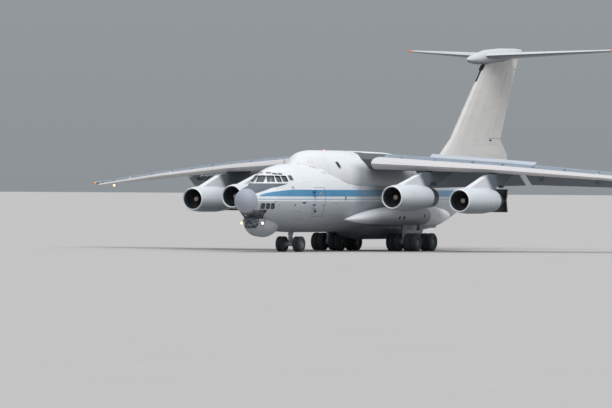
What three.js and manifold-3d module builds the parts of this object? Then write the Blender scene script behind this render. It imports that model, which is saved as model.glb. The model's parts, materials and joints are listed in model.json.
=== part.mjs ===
// A four-engined, high-winged military transport aeroplane with a T-tail, as a half-size model on its gear.
// Lengths are in metres of the real aeroplane: X is the station behind the nose tip, Y is to the
// pilot's right and Z is the height over the ground. The last group turns them into model millimetres.
import * as THREE from "three";
import { mergeVertices } from "three/addons/utils/BufferGeometryUtils.js";
import Module from "manifold-3d";

const wasm = await Module();
wasm.setup();

// Driving dimensions
const MODEL_MM_PER_METRE = 500;
const LENGTH = 46.59;
const HALF_SPAN = 25.25;
const FIT_GAP = 0.0008;
const PIN_SIDES = 8;

// Fuselage
const BODY_SIDES = 20;
const RADOME_END = 0.86;
const NOSE_END = 9.5;
const CENTRE_END = 29.4;
const NOSE_WALL = 0.12;
const BODY_WALL = 0.2;
const CROWN = 6.25;
const BELLY = 1.38;
const BODY_RADIUS = 2.4;
const HOLD = { halfWidth: 1.72, floor: 2.2, ceiling: 5.55, front: 9.9 };

// Wing
const SWEEP_LE = 0.4594;
const WING_APEX = 13.9;
const REAR_SPAR = 0.7;
const SLAT_ANGLE = (25 * Math.PI) / 180;
const SLAT_TRAVEL = 0.5;
const BAY = { front: 14.9, rear: 23.75 };

// Landing gear
const MAIN_WHEEL = { radius: 0.65, width: 0.48 };
const NOSE_WHEEL = { radius: 0.55, width: 0.29 };
const MAIN_GEAR_X = 21.2;
const MAIN_LEG_SPACING = 2.6;
const MAIN_LEG_Y = 3.02;
const NOSE_GEAR_X = 7.7;

const UP = new THREE.Vector3(0, 0, 1);
const ALONG_Y = new THREE.Vector3(0, 1, 0);
const SIDES = [
  { side: "left", s: -1 },
  { side: "right", s: 1 },
];

// Materials: colour, roughness and metalness
const paint = (color, roughness, metalness) => new THREE.MeshStandardMaterial({ color, roughness, metalness });
const MATERIALS = {
  white: paint(0xd9dcdf, 0.45, 0.1),
  grey: paint(0xb9bfc4, 0.5, 0.1),
  pale: paint(0xcfcbc6, 0.5, 0.1),
  radome: paint(0xb3b9c4, 0.55, 0),
  glass: paint(0x39474f, 0.15, 0),
  nacelle: paint(0xd3d7da, 0.4, 0.2),
  hot: paint(0x3b4348, 0.5, 0.6),
  steel: paint(0x7f878c, 0.4, 0.8),
  tyre: paint(0x2b2e30, 0.9, 0),
  interior: paint(0x5f6b66, 0.8, 0),
};

// Solids from points and triangles. A solid that comes out inside out is turned round.
function toSolid(points, triangles) {
  const flat = new Float32Array(triangles.flat().flatMap((i) => points[i]));
  const loose = new THREE.BufferGeometry().setAttribute("position", new THREE.BufferAttribute(flat, 3));
  const merged = mergeVertices(loose, 1e-5);
  const kept = [];
  const index = merged.index.array;
  for (let i = 0; i < index.length; i += 3) {
    const [a, b, c] = [index[i], index[i + 1], index[i + 2]];
    if (a !== b && b !== c && c !== a) kept.push(a, b, c);
  }
  const make = (triVerts) =>
    new wasm.Manifold(
      new wasm.Mesh({ numProp: 3, vertProperties: merged.attributes.position.array, triVerts }),
    );
  const solid = make(new Uint32Array(kept));
  return solid.volume() < 0 ? make(new Uint32Array(kept.reverse())) : solid;
}

function fromGeometry(geometry) {
  geometry.deleteAttribute("normal");
  geometry.deleteAttribute("uv");
  const loose = geometry.index ? geometry.toNonIndexed() : geometry;
  const position = loose.attributes.position.array;
  const points = [];
  for (let i = 0; i < position.length; i += 3) points.push([position[i], position[i + 1], position[i + 2]]);
  const triangles = [];
  for (let i = 0; i < points.length; i += 3) triangles.push([i, i + 1, i + 2]);
  return toSolid(points, triangles);
}

const area2 = (a, b, c) => (b[0] - a[0]) * (c[1] - a[1]) - (c[0] - a[0]) * (b[1] - a[1]);

// The triangles that close a ring of points, from its middle, or by ear cutting where it isn't convex.
function capRing(ring, points, start, facesOn) {
  const n = ring.length;
  const size = [0, 1, 2].map((k) => Math.max(...ring.map((p) => p[k])) - Math.min(...ring.map((p) => p[k])));
  const dropped = size.indexOf(Math.min(...size));
  const flat = ring.map((p) => p.filter((_, k) => k !== dropped));
  const middle = [0, 1, 2].map((k) => ring.reduce((sum, p) => sum + p[k], 0) / n);
  const middle2 = middle.filter((_, k) => k !== dropped);
  const areas = flat.map((p, j) => area2(middle2, p, flat[(j + 1) % n]));
  const turn = Math.sign(areas.reduce((sum, a) => sum + a, 0));
  let triangles;
  if (areas.every((a) => a * turn > 0)) {
    const centre = points.push(middle) - 1;
    triangles = ring.map((_, j) => [centre, start + j, start + ((j + 1) % n)]);
  } else {
    const faces = THREE.ShapeUtils.triangulateShape(flat.map(([x, y]) => new THREE.Vector2(x, y)), []);
    triangles = faces.map(([a, b, c]) =>
      area2(flat[a], flat[b], flat[c]) * turn > 0 ? [a + start, b + start, c + start] : [a + start, c + start, b + start],
    );
  }
  return facesOn ? triangles : triangles.map(([a, b, c]) => [a, c, b]);
}

// A solid through rings that hold the same number of points each.
function loft(rings) {
  const n = rings[0].length;
  const points = rings.flat();
  const triangles = [];
  for (let i = 0; i + 1 < rings.length; i++) {
    for (let j = 0; j < n; j++) {
      const [a, b] = [i * n + j, i * n + ((j + 1) % n)];
      triangles.push([a, b, b + n], [a, b + n, a + n]);
    }
  }
  const last = (rings.length - 1) * n;
  triangles.push(...capRing(rings[0], points, 0, false));
  triangles.push(...capRing(rings[rings.length - 1], points, last, true));
  return toSolid(points, triangles);
}

function box([x0, x1], [y0, y1], [z0, z1]) {
  const geometry = new THREE.BoxGeometry(x1 - x0, y1 - y0, z1 - z0);
  geometry.translate((x0 + x1) / 2, (y0 + y1) / 2, (z0 + z1) / 2);
  return fromGeometry(geometry);
}

const vector = ([x, y, z]) => new THREE.Vector3(x, y, z);

// A cylinder between two points, turned about its own axis by a share of one of its sides.
function rod(from, to, radius, sides = PIN_SIDES, turn = 0) {
  const [a, b] = [vector(from), vector(to)];
  const along = b.clone().sub(a);
  const geometry = new THREE.CylinderGeometry(radius, radius, along.length(), sides);
  geometry.rotateY((turn * 2 * Math.PI) / sides);
  geometry.applyQuaternion(new THREE.Quaternion().setFromUnitVectors(ALONG_Y, along.normalize()));
  geometry.translate(...a.add(b).divideScalar(2).toArray());
  return fromGeometry(geometry);
}

// The hole that a rod of this radius turns in: its flats face the rod's corners and just clear them.
const bore = (from, to, radius) => rod(from, to, (radius + FIT_GAP) / Math.cos(Math.PI / PIN_SIDES), PIN_SIDES, 0.5);

// A turned shape about the X axis through (0, y, z), from a closed outline of [x, radius].
function turned(outline, y, z, sides) {
  const closed = outline[0][1] > 0 ? [...outline, outline[0]] : outline;
  const geometry = new THREE.LatheGeometry(
    closed.map(([x, r]) => new THREE.Vector2(r, x)),
    sides,
  );
  geometry.rotateZ(-Math.PI / 2);
  geometry.rotateX(Math.PI / sides);
  geometry.translate(0, y, z);
  return fromGeometry(geometry);
}

const joinAll = (solids) => solids.reduce((sum, solid) => sum.add(solid));
const mirrored = (solid) => solid.mirror([0, 1, 0]);
const onSide = (solid, s) => (s > 0 ? solid : mirrored(solid));
const mirrorPoint = ([x, y, z], s) => [x, y * s, z];
const between = (a, b, t) => a.map((v, k) => v + (b[k] - v) * t);

// A solid turned about the line from one point to another.
function swung(solid, from, to, degrees) {
  const axis = vector(to).sub(vector(from)).normalize();
  const turn = new THREE.Matrix4().makeRotationAxis(axis, THREE.MathUtils.degToRad(degrees));
  const matrix = new THREE.Matrix4().makeTranslation(...from);
  matrix.multiply(turn).multiply(new THREE.Matrix4().makeTranslation(...from.map((v) => -v)));
  return solid.transform(matrix.elements);
}

// A long block between two points whose end faces are square to the line through them.
function slabBetween(from, to, size) {
  const along = vector(to).sub(vector(from));
  const geometry = new THREE.BoxGeometry(size, along.length(), size);
  geometry.applyQuaternion(new THREE.Quaternion().setFromUnitVectors(ALONG_Y, along.clone().normalize()));
  geometry.translate(...vector(from).addScaledVector(along, 0.5).toArray());
  return fromGeometry(geometry);
}

// The scene graph: one group for each body, and the joints that the pieces' shapes leave room for.
const aeroplane = new THREE.Group();
aeroplane.scale.setScalar(MODEL_MM_PER_METRE);
aeroplane.position.x = (-LENGTH / 2) * MODEL_MM_PER_METRE;
aeroplane.userData.joints = [];
const bodies = {};

function bodyGroup(name) {
  if (!bodies[name]) {
    bodies[name] = new THREE.Group();
    aeroplane.add(bodies[name]);
  }
  return bodies[name];
}

function addMesh(name, solid, material, body = "root", at = [0, 0, 0]) {
  const { vertProperties, triVerts } = solid.getMesh();
  const geometry = new THREE.BufferGeometry();
  geometry.setAttribute("position", new THREE.BufferAttribute(vertProperties, 3));
  geometry.setIndex(new THREE.BufferAttribute(triVerts, 1));
  const mesh = new THREE.Mesh(geometry, material);
  mesh.name = name;
  mesh.position.set(...at);
  bodyGroup(body).add(mesh);
  return mesh;
}

const addJoint = (joint) => aeroplane.userData.joints.push(joint);

// Fuselage sections. Columns: station, crown, belly, half width.
const NOSE_SECTIONS = [
  [0.86, 4.45, 2.76, 0.86],
  [1.3, 4.62, 2.44, 0.99],
  [2.1, 4.8, 2.05, 1.2],
  [2.75, 4.9, 1.84, 1.34],
  [3.4, 5.5, 1.7, 1.46],
  [4.1, 5.79, 1.6, 1.6],
  [5.2, 6.05, 1.48, 1.86],
  [6.6, 6.2, 1.4, 2.18],
  [8.2, CROWN, BELLY, 2.37],
  [NOSE_END, CROWN, BELLY, BODY_RADIUS],
];
const CENTRE_SECTIONS = [
  [NOSE_END, CROWN, BELLY, BODY_RADIUS],
  [27.2, CROWN, BELLY, BODY_RADIUS],
  [CENTRE_END, CROWN, 1.56, BODY_RADIUS],
];
const TAIL_SECTIONS = [
  [CENTRE_END, CROWN, 1.56, BODY_RADIUS],
  [32, CROWN, 2.3, 2.33],
  [34.4, CROWN, 3.2, 2.12],
  [37, 6.24, 4.02, 1.72],
  [39.6, 6.2, 4.62, 1.28],
  [42, 6.15, 5.05, 0.86],
  [43.2, 6.05, 5.25, 0.55],
  [43.6, 5.85, 5.42, 0.22],
];

function bodyRing([x, top, bottom, halfWidth], inset, sides = BODY_SIDES) {
  const [middle, halfHeight] = [(top + bottom) / 2, (top - bottom) / 2 - inset];
  const ring = [];
  for (let i = 0; i < sides; i++) {
    const angle = ((i + 0.5) / sides) * 2 * Math.PI;
    ring.push([x, (halfWidth - inset) * Math.sin(angle), middle + halfHeight * Math.cos(angle)]);
  }
  return ring;
}

const bodyLoft = (sections, inset) => loft(sections.map((section) => bodyRing(section, inset)));

// A fuselage section at any station, straight between the rows of a table.
function sectionAt(sections, x) {
  const i = Math.max(0, sections.findIndex((row) => row[0] >= x) - 1);
  const [a, b] = [sections[i], sections[i + 1]];
  return between(a, b, (x - a[0]) / (b[0] - a[0]));
}

const ALL_SECTIONS = [...NOSE_SECTIONS, ...CENTRE_SECTIONS.slice(1), ...TAIL_SECTIONS.slice(1)];
const BODY_GROWN = bodyLoft(ALL_SECTIONS, -FIT_GAP);

// Windows of the flight deck: place of the middle, direction of the outward normal from straight ahead, size.
const COCKPIT_PANES = [
  { x: 3.05, y: 0, z: 5.13, turn: 0, tilt: 40, width: 0.56, height: 0.62 },
  { x: 3.3, y: 0.62, z: 5.13, turn: 38, tilt: 30, width: 0.52, height: 0.56 },
  { x: 3.74, y: 1.02, z: 5.15, turn: 58, tilt: 25, width: 0.42, height: 0.52 },
  { x: 4.3, y: 1.24, z: 5.17, turn: 74, tilt: 25, width: 0.5, height: 0.46 },
];
// Windows of the navigator's place under the flight deck, in rows around the nose and on its sides.
const NAVIGATOR_PANES = [
  { x: 1.35, y: 0.32, z: 2.42, turn: 18, tilt: -45, width: 0.46, height: 0.8 },
  { x: 1.55, y: 0.82, z: 2.58, turn: 57, tilt: -33, width: 0.5, height: 0.72 },
  { x: 1.4, y: 1, z: 3.24, turn: 75, tilt: -8, width: 0.34, height: 0.34 },
  { x: 1.9, y: 1.14, z: 3.24, turn: 77, tilt: -8, width: 0.34, height: 0.34 },
  { x: 2.4, y: 1.24, z: 3.24, turn: 79, tilt: -8, width: 0.34, height: 0.34 },
];

// A block through the skin at each pane, on both sides.
function paneCutters(panes, shrink) {
  const depth = 0.5;
  const cutters = [];
  for (const pane of panes) {
    for (const { s } of SIDES) {
      const geometry = new THREE.BoxGeometry(depth - shrink, pane.width - shrink, pane.height - shrink);
      geometry.rotateY(THREE.MathUtils.degToRad(pane.tilt));
      geometry.rotateZ(THREE.MathUtils.degToRad(-pane.turn * s));
      geometry.translate(pane.x, pane.y * s, pane.z);
      if (pane.y !== 0 || s > 0) cutters.push(fromGeometry(geometry));
    }
  }
  return joinAll(cutters);
}

const GLASS = { outer: 0.03, inner: NOSE_WALL + 0.03, frameGap: 2 * FIT_GAP };

// The hollow of the nose, its walls this far inside the skin.
const noseHollow = (inset) =>
  bodyLoft([sectionAt(NOSE_SECTIONS, 1), ...NOSE_SECTIONS.slice(1, -1), sectionAt(NOSE_SECTIONS, 9.37)], inset);

// The panes and the frame behind the skin that holds them together.
function glazing(panes, span) {
  const inner = noseHollow(GLASS.inner);
  const pane = noseHollow(GLASS.outer).subtract(inner).intersect(paneCutters(panes, GLASS.frameGap));
  const frame = noseHollow(NOSE_WALL + 2 * FIT_GAP).subtract(inner);
  return pane.add(frame.intersect(span));
}

// Hinges: a pin on the moving solid turns in a hole of the fixed one.
function pinInto(fixed, moving, from, to, radius) {
  return [fixed.subtract(bore(from, pastEnd(from, to, FIT_GAP), radius)), moving.add(rod(from, to, radius))];
}

// Doors of the crew, cut from the skin and swung outward on arms at the front edge.
const CREW_DOOR = { front: 7.11, rear: 8.47, bottom: 2.5, top: 4.55, gap: 0.02, rearGap: 0.05 };
const CREW_HINGE = { x: 6.99, y: 2.35, heights: [3.3, 4.2], pin: 0.035, arm: 0.06, lug: 0.13, armEnd: 7.4, foot: 2.03 };

function crewDoors(noseSection) {
  let nose = noseSection;
  const { front, rear, bottom, top, gap, rearGap } = CREW_DOOR;
  const { x, y, heights, pin, arm, lug, armEnd, foot } = CREW_HINGE;
  const skin = bodyLoft(NOSE_SECTIONS, 0).subtract(bodyLoft(NOSE_SECTIONS, NOSE_WALL));
  const doorway = box([front, rear], [1.5, 3], [bottom, top]);
  let door = skin.intersect(box([front + gap, rear - rearGap], [1.5, 3], [bottom + gap, top - gap]));
  let lugs = [];
  for (const z of heights) {
    door = door.add(box([x - arm, armEnd], [y - arm, y + arm], [z - arm, z + arm]));
    door = door.add(box([armEnd - 0.17, armEnd], [foot, y + arm], [z - arm, z + arm]));
    door = door.add(rod([x, y, z - arm - lug], [x, y, z + arm + lug], pin));
    for (const low of [z - arm - FIT_GAP - lug, z + arm + FIT_GAP]) {
      lugs.push(box([x - lug, x + arm + 0.02], [y - 0.35, y + 0.08], [low, low + lug]));
    }
  }
  const inside = bodyLoft(NOSE_SECTIONS, NOSE_WALL / 2);
  let frame = joinAll(lugs).subtract(inside);
  for (const { side, s } of SIDES) {
    nose = nose.subtract(onSide(doorway, s)).add(onSide(frame, s));
    for (const z of heights) {
      const reach = arm + lug + FIT_GAP;
      nose = nose.subtract(onSide(bore([x, y, z - reach], [x, y, z + reach], pin), s));
    }
    addMesh(`crew_door_${side}`, onSide(door, s), MATERIALS.white, `crew_door_${side}`);
    const hinge = sideHinge([x, y, bottom], [x, y, top], s);
    addJoint({ name: `crew_door_${side}_hinge`, child: `crew_door_${side}`, ...hinge, range: [0, 90] });
  }
  return nose;
}

const NOSE_LEG = { radius: 0.16, top: 2.15, joint: 1.15 };

function noseParts() {
  const doorway = box([9.2, 9.7], [-0.45, 0.45], [2.3, 4.1]);
  const cockpitSpan = box([2.6, 4.8], [-2, 2], [4.75, 5.6]);
  const navigatorSpan = box([1.02, 2.7], [-2, 2], [1.95, 3.5]);
  let nose = bodyLoft(NOSE_SECTIONS, 0).subtract(noseHollow(NOSE_WALL)).subtract(doorway);
  nose = nose.subtract(paneCutters(COCKPIT_PANES, 0)).subtract(paneCutters(NAVIGATOR_PANES, 0));
  const legHole = rod([NOSE_GEAR_X, 0, 1], [NOSE_GEAR_X, 0, NOSE_LEG.top], NOSE_LEG.radius + FIT_GAP * 2, 16);
  nose = crewDoors(nose.subtract(legHole));
  addMesh("nose_section", nose, MATERIALS.white);
  addMesh("cockpit_glass", glazing(COCKPIT_PANES, cockpitSpan), MATERIALS.glass);
  addMesh("navigator_glass", glazing(NAVIGATOR_PANES, navigatorSpan), MATERIALS.glass);

  // Floors, bulkhead, panel and seats inside the nose.
  const deck = 3.95;
  const navigatorFloor = 2.28;
  const slabs = [
    box([3.0, 9.3], [-3, 3], [deck, deck + 0.1]),
    box([2.9, 9.3], [-3, 3], [navigatorFloor, navigatorFloor + 0.08]),
    box([6.15, 6.25], [-3, -0.5], [navigatorFloor, deck]),
    box([6.15, 6.25], [0.5, 3], [navigatorFloor, deck]),
    box([3.3, 3.5], [-0.9, 0.9], [deck, 4.72]),
  ];
  const seats = [];
  for (const [x, y, z] of [[4.35, 0.55, deck], [4.35, -0.55, deck], [5.5, 0.9, deck], [3.2, 0, navigatorFloor]]) {
    seats.push(box([x, x + 0.5], [y - 0.25, y + 0.25], [z, z + 0.45]));
    seats.push(box([x + 0.42, x + 0.55], [y - 0.25, y + 0.25], [z, z + 1.1]));
  }
  const inside = joinAll([...slabs, ...seats]);
  const seated = inside.intersect(noseHollow(NOSE_WALL + FIT_GAP)).intersect(box([8.3, 9.3], [-3, 3], [2, 5]));
  addMesh("flight_deck", inside.intersect(noseHollow(NOSE_WALL + 0.04)).add(seated), MATERIALS.interior);

  const radomeRings = [];
  const radomeSteps = 6;
  for (let i = 0; i <= radomeSteps; i++) {
    const angle = (i / radomeSteps) * (Math.PI / 2);
    const x = (RADOME_END - FIT_GAP) * (1 - Math.cos(angle));
    const [, top, bottom, halfWidth] = NOSE_SECTIONS[0];
    const [middle, size] = [(top + bottom) / 2, Math.sin(angle)];
    const half = ((top - bottom) / 2) * size;
    radomeRings.push(bodyRing([x, middle + half, middle - half, halfWidth * size], 0));
  }
  addMesh("nose_radome", loft(radomeRings), MATERIALS.radome);

  const chin = { front: 1.15, rear: 5.15, middle: 2.0, halfWidth: 0.92, halfHeight: 0.95 };
  const chinRings = [];
  for (const t of [0, 0.04, 0.15, 0.32, 0.55, 0.78, 0.93, 1]) {
    const size = Math.sqrt(Math.max(0, 1 - (2 * t - 1) ** 2));
    const x = chin.front + (chin.rear - chin.front) * t;
    const half = chin.halfHeight * size;
    chinRings.push(bodyRing([x, chin.middle + half, chin.middle - half, chin.halfWidth * size], 0, 16));
  }
  addMesh("chin_radome", loft(chinRings).subtract(BODY_GROWN), MATERIALS.radome);
}

// Wing stations. Columns: distance from the middle, chord, height at 30% chord, thickness, nose-up slope.
const WING_STATIONS = [
  [0, 9.97, 6.42, 0.13, 0.045],
  [2.4, 9.09, 6.4, 0.13, 0.045],
  [10.5, 6.1, 6.06, 0.12, 0.035],
  [18, 4.42, 5.5, 0.11, 0.03],
  [HALF_SPAN, 2.8, 4.77, 0.1, 0.02],
];

// Half the thickness of the section at a share of the chord.
const halfDepth = (u, t) =>
  5 * t * (0.2969 * Math.sqrt(u) - 0.126 * u - 0.3516 * u ** 2 + 0.2843 * u ** 3 - 0.1036 * u ** 4);

function stationAt(stations, y) {
  const d = Math.abs(y);
  const i = Math.max(0, stations.findIndex((row) => row[0] >= d) - 1);
  const [a, b] = [stations[i], stations[i + 1]];
  const [, chord, middle, thickness, slope] = between(a, b, (d - a[0]) / (b[0] - a[0]));
  return { chord, middle, thickness, slope };
}

// A point of the wing at a share of the chord, and a height over the middle line in chords.
function wingPoint(y, u, w, lift = 0) {
  const { chord, middle, slope } = stationAt(WING_STATIONS, y);
  const x = WING_APEX + SWEEP_LE * Math.abs(y) + u * chord;
  return [x, y, middle + (w + (0.3 - u) * slope) * chord + lift];
}

const NOSE_BLOCK = { top: 0.19, front: 0.08 };
const wedge = (u, t) => halfDepth(NOSE_BLOCK.top, t) - (NOSE_BLOCK.top - u) * Math.tan(SLAT_ANGLE);

// The fixed wing: a wedge nose behind the slat, and a blunt back at the rear spar.
function fixedOutline(t) {
  const upper = [REAR_SPAR, 0.5, 0.32, NOSE_BLOCK.top].map((u) => [u, halfDepth(u, t)]);
  const lower = [NOSE_BLOCK.front, 0.14, 0.3, 0.5, REAR_SPAR].map((u) => [u, -halfDepth(u, t)]);
  return [...upper, [NOSE_BLOCK.front, wedge(NOSE_BLOCK.front, t)], ...lower];
}
const fullOutline = (t) => {
  const upper = [1, 0.85, 0.6, 0.32, 0.12, 0.03].map((u) => [u, halfDepth(u, t) + 0.002]);
  const lower = [0, 0.03, 0.12, 0.32, 0.6, 0.85, 1].map((u) => [u, -halfDepth(u, t) - 0.002 * u]);
  return [...upper, ...lower];
};
const ribOutline = (t) => [
  [1, 0.003],
  [0.85, halfDepth(0.85, t)],
  [REAR_SPAR - 0.02, halfDepth(REAR_SPAR, t)],
  [REAR_SPAR - 0.02, -halfDepth(REAR_SPAR, t)],
  [0.85, -halfDepth(0.85, t)],
  [1, -0.003],
];

const wingLoft = (ys, outline) =>
  loft(ys.map((y) => outline(stationAt(WING_STATIONS, y).thickness).map(([u, w]) => wingPoint(y, u, w))));

// A section of a control surface: a round nose about its hinge and a straight taper to the tail.
function surfaceSection(hinge, tail, halfThickness, across) {
  const along = vector(tail).sub(vector(hinge));
  const chord = along.length();
  along.normalize();
  const side = vector(across).projectOnPlane(along).normalize();
  const section = [];
  const place = (a, b) => vector(hinge).addScaledVector(along, a).addScaledVector(side, b).toArray();
  for (let i = 0; i <= 6; i++) {
    const angle = Math.PI / 2 + (i / 6) * Math.PI;
    section.push(place(halfThickness * Math.cos(angle), halfThickness * Math.sin(angle)));
  }
  section.push(place(chord, -0.012), place(chord, 0.012));
  return section;
}

const AILERON = { inner: 18.1, outer: 24.62, rib: [17.88, 18.04], tip: 24.68, pin: 0.045 };

function aileron() {
  const ends = [AILERON.inner, AILERON.outer].map((y) => {
    const { chord, thickness } = stationAt(WING_STATIONS, y);
    const half = halfDepth(REAR_SPAR, thickness) * chord * 0.94;
    const hinge = wingPoint(y, REAR_SPAR + (half + 0.03) / chord, 0);
    return { half, hinge, tail: wingPoint(y, 1, 0) };
  });
  const solid = loft(ends.map(({ half, hinge, tail }) => surfaceSection(hinge, tail, half, [0, 0, 1])));
  return { solid, from: ends[0].hinge, to: ends[1].hinge };
}

// The point past the end of a line by a distance.
function pastEnd(from, to, distance) {
  const along = vector(to).sub(vector(from)).normalize();
  return vector(to).addScaledVector(along, distance).toArray();
}

// Spoilers along the back of the fixed wing, over the flaps.
const SPOILER = { inner: 3.9, outer: 11.6, length: 0.12, half: 0.03, raised: 40, pin: 0.028 };

function spoiler() {
  const ends = [SPOILER.inner, SPOILER.outer].map((y) => {
    const { chord, thickness } = stationAt(WING_STATIONS, y);
    const u = REAR_SPAR + 0.06 / chord;
    const hinge = wingPoint(y, u, halfDepth(REAR_SPAR, thickness), -SPOILER.half);
    const tail = wingPoint(y, u + SPOILER.length, halfDepth(REAR_SPAR + SPOILER.length, thickness), -0.02);
    return { hinge, tail };
  });
  const solid = loft(ends.map(({ hinge, tail }) => surfaceSection(hinge, tail, SPOILER.half, [0, 0, 1])));
  return { solid, from: ends[0].hinge, to: ends[1].hinge };
}

// Flaps. They swing on round tracks about a line below the wing. Columns: name, ends at rest, depth of
// that line under the flap, and the places of the two tracks along it.
const FLAPS = [
  { name: "inner", inner: 2.62, outer: 10.2, drop: [1.5, 1.3], tracks: [0.28, 0.78] },
  { name: "outer", inner: 10.66, outer: 17.55, drop: [1.15, 0.9], tracks: [0.22, 0.74] },
];
const FLAP_ANGLE = 38;
const FLAP_HINGE_U = 0.77;
const TRACK = { width: 0.2, depth: 0.32, corners: [-42, -22, -2, 18, 38, 52] };

function flapOutline(t) {
  const low = [0.74, 0.84].map((u) => [u, -halfDepth(u, t)]);
  const nose = [[0.735, halfDepth(0.735, t) * 0.35], [0.724, -halfDepth(0.72, t) * 0.3]];
  const top = [[0.86, halfDepth(0.86, t) - 0.002], [0.79, halfDepth(0.79, t) - 0.019]];
  return [[1, 0.002], ...top, ...nose, ...low, [1, -0.002]];
}

function flapAxis(flap) {
  const margin = 0.3;
  const ends = [flap.inner - margin, flap.outer + margin];
  return ends.map((y, i) => wingPoint(y, FLAP_HINGE_U, 0, -flap.drop[i]));
}

// A plate square to a hinge line: an outline of [angle from upright towards the tail, radius].
function plateAbout(axis, share, width, outline) {
  const [from, to] = axis.map(vector);
  const along = to.clone().sub(from);
  const middle = from.clone().addScaledVector(along, share);
  along.normalize();
  const up = UP.clone().projectOnPlane(along).normalize();
  const aft = along.clone().cross(up);
  const ringAt = (offset) =>
    outline.map(([degrees, radius]) => {
      const angle = THREE.MathUtils.degToRad(degrees);
      const point = middle.clone().addScaledVector(along, offset);
      return point.addScaledVector(aft, radius * Math.sin(angle)).addScaledVector(up, radius * Math.cos(angle)).toArray();
    });
  return loft([ringAt(-width / 2), ringAt(width / 2)]);
}

// The room under a flap, measured from its hinge line at one of its tracks.
function trackRadius(flap, share) {
  const [from, to] = flapAxis(flap);
  const y = between(from, to, share)[1];
  const { chord, thickness } = stationAt(WING_STATIONS, y);
  const drop = wingPoint(y, FLAP_HINGE_U, 0)[2] - between(from, to, share)[2];
  return drop - halfDepth(0.74, thickness) * chord - 0.05;
}

function flapTrack(flap, share) {
  const radius = trackRadius(flap, share);
  const arc = (r) => TRACK.corners.map((degrees) => [degrees, r]);
  const outline = [...arc(radius), ...arc(radius - TRACK.depth).reverse()];
  return plateAbout(flapAxis(flap), share, TRACK.width, outline);
}

// The bracket that carries a track under the wing, in front of the flap.
function flapBracket(flap, share) {
  const [from, to] = flapAxis(flap);
  const y = between(from, to, share)[1];
  const { chord } = stationAt(WING_STATIONS, y);
  const drop = wingPoint(y, FLAP_HINGE_U, 0)[2] - between(from, to, share)[2];
  const radius = trackRadius(flap, share);
  const rear = (FLAP_HINGE_U - REAR_SPAR) * chord;
  const corners = [
    [-rear, drop],
    [-rear, Math.sqrt(radius ** 2 - rear ** 2) - 0.1],
    [-(radius - TRACK.depth) * Math.sin(0.7), (radius - TRACK.depth) * Math.cos(0.7)],
    [-rear - 0.4, drop * 0.5],
    [-rear - 1.3, drop],
  ];
  const outline = corners.map(([a, b]) => [THREE.MathUtils.radToDeg(Math.atan2(a, b)), Math.hypot(a, b)]);
  return plateAbout(flapAxis(flap), share, TRACK.width, outline);
}

function flapShoe(flap, share) {
  const radius = trackRadius(flap, share) + FIT_GAP;
  const [half, tall] = [8, 0.2];
  const outline = [
    [-half, radius / Math.cos(THREE.MathUtils.degToRad(half))],
    [-half, radius + tall],
    [half, radius + tall],
    [half, radius / Math.cos(THREE.MathUtils.degToRad(half))],
  ];
  return plateAbout(flapAxis(flap), share, TRACK.width, outline);
}

function flapSolid(flap) {
  const [from, to] = flapAxis(flap);
  const stowed = wingLoft([flap.inner - 0.4, flap.outer + 0.4], flapOutline);
  const shoes = joinAll(flap.tracks.map((share) => flapShoe(flap, share)));
  const lowered = swung(stowed.add(shoes), from, to, FLAP_ANGLE);
  return lowered.intersect(box([0, LENGTH], [flap.inner, flap.outer], [0, 10]));
}

// Slats. They slide forward and down on rods.
const SLAT = { inner: 2.85, outer: 24.58, rods: [4.2, 8.9, 12.9, 17.2, 21.5], lip: 0.066 };
const SLAT_ROD = { half: 0.05, front: 0.03, seated: 0.16 };
const slatSlide = [-Math.cos(SLAT_ANGLE), 0, -Math.sin(SLAT_ANGLE)];

function slatOutline(t) {
  const outer = [0.155, 0.08, 0.024].map((u) => [u, halfDepth(u, t) + 0.002]);
  const lower = [0.016, SLAT.lip].map((u) => [u, -halfDepth(u, t)]);
  return [...outer, [0, 0], ...lower, [SLAT.lip, wedge(SLAT.lip, t) + 0.012]];
}

// A rod, or with room around it the slot that it slides in.
function slatRod(y, grow) {
  const { chord, thickness } = stationAt(WING_STATIONS, y);
  const start = wingPoint(y, SLAT_ROD.front, wedge(SLAT_ROD.front, thickness) - 0.008);
  const toWing = ((NOSE_BLOCK.front - SLAT_ROD.front) * chord) / Math.cos(SLAT_ANGLE);
  const length = SLAT_TRAVEL + toWing + SLAT_ROD.seated;
  const end = start.map((v, k) => v - slatSlide[k] * length);
  const half = SLAT_ROD.half + grow;
  const corners = [[-1, -1], [1, -1], [1, 1], [-1, 1]];
  const square = ([px, py, pz], reach) =>
    corners.map(([a, b]) => [px - slatSlide[0] * reach, py + a * half, pz - slatSlide[2] * reach + b * half]);
  return loft([square(start, grow ? -SLAT_TRAVEL : 0), square(end, grow ? 0.02 : 0)]);
}

function slatSolid() {
  const ys = [SLAT.inner, 10.5, 18, SLAT.outer];
  const stowed = wingLoft(ys, slatOutline).add(joinAll(SLAT.rods.map((y) => slatRod(y, 0))));
  return stowed.translate(slatSlide.map((v) => v * SLAT_TRAVEL));
}

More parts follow.
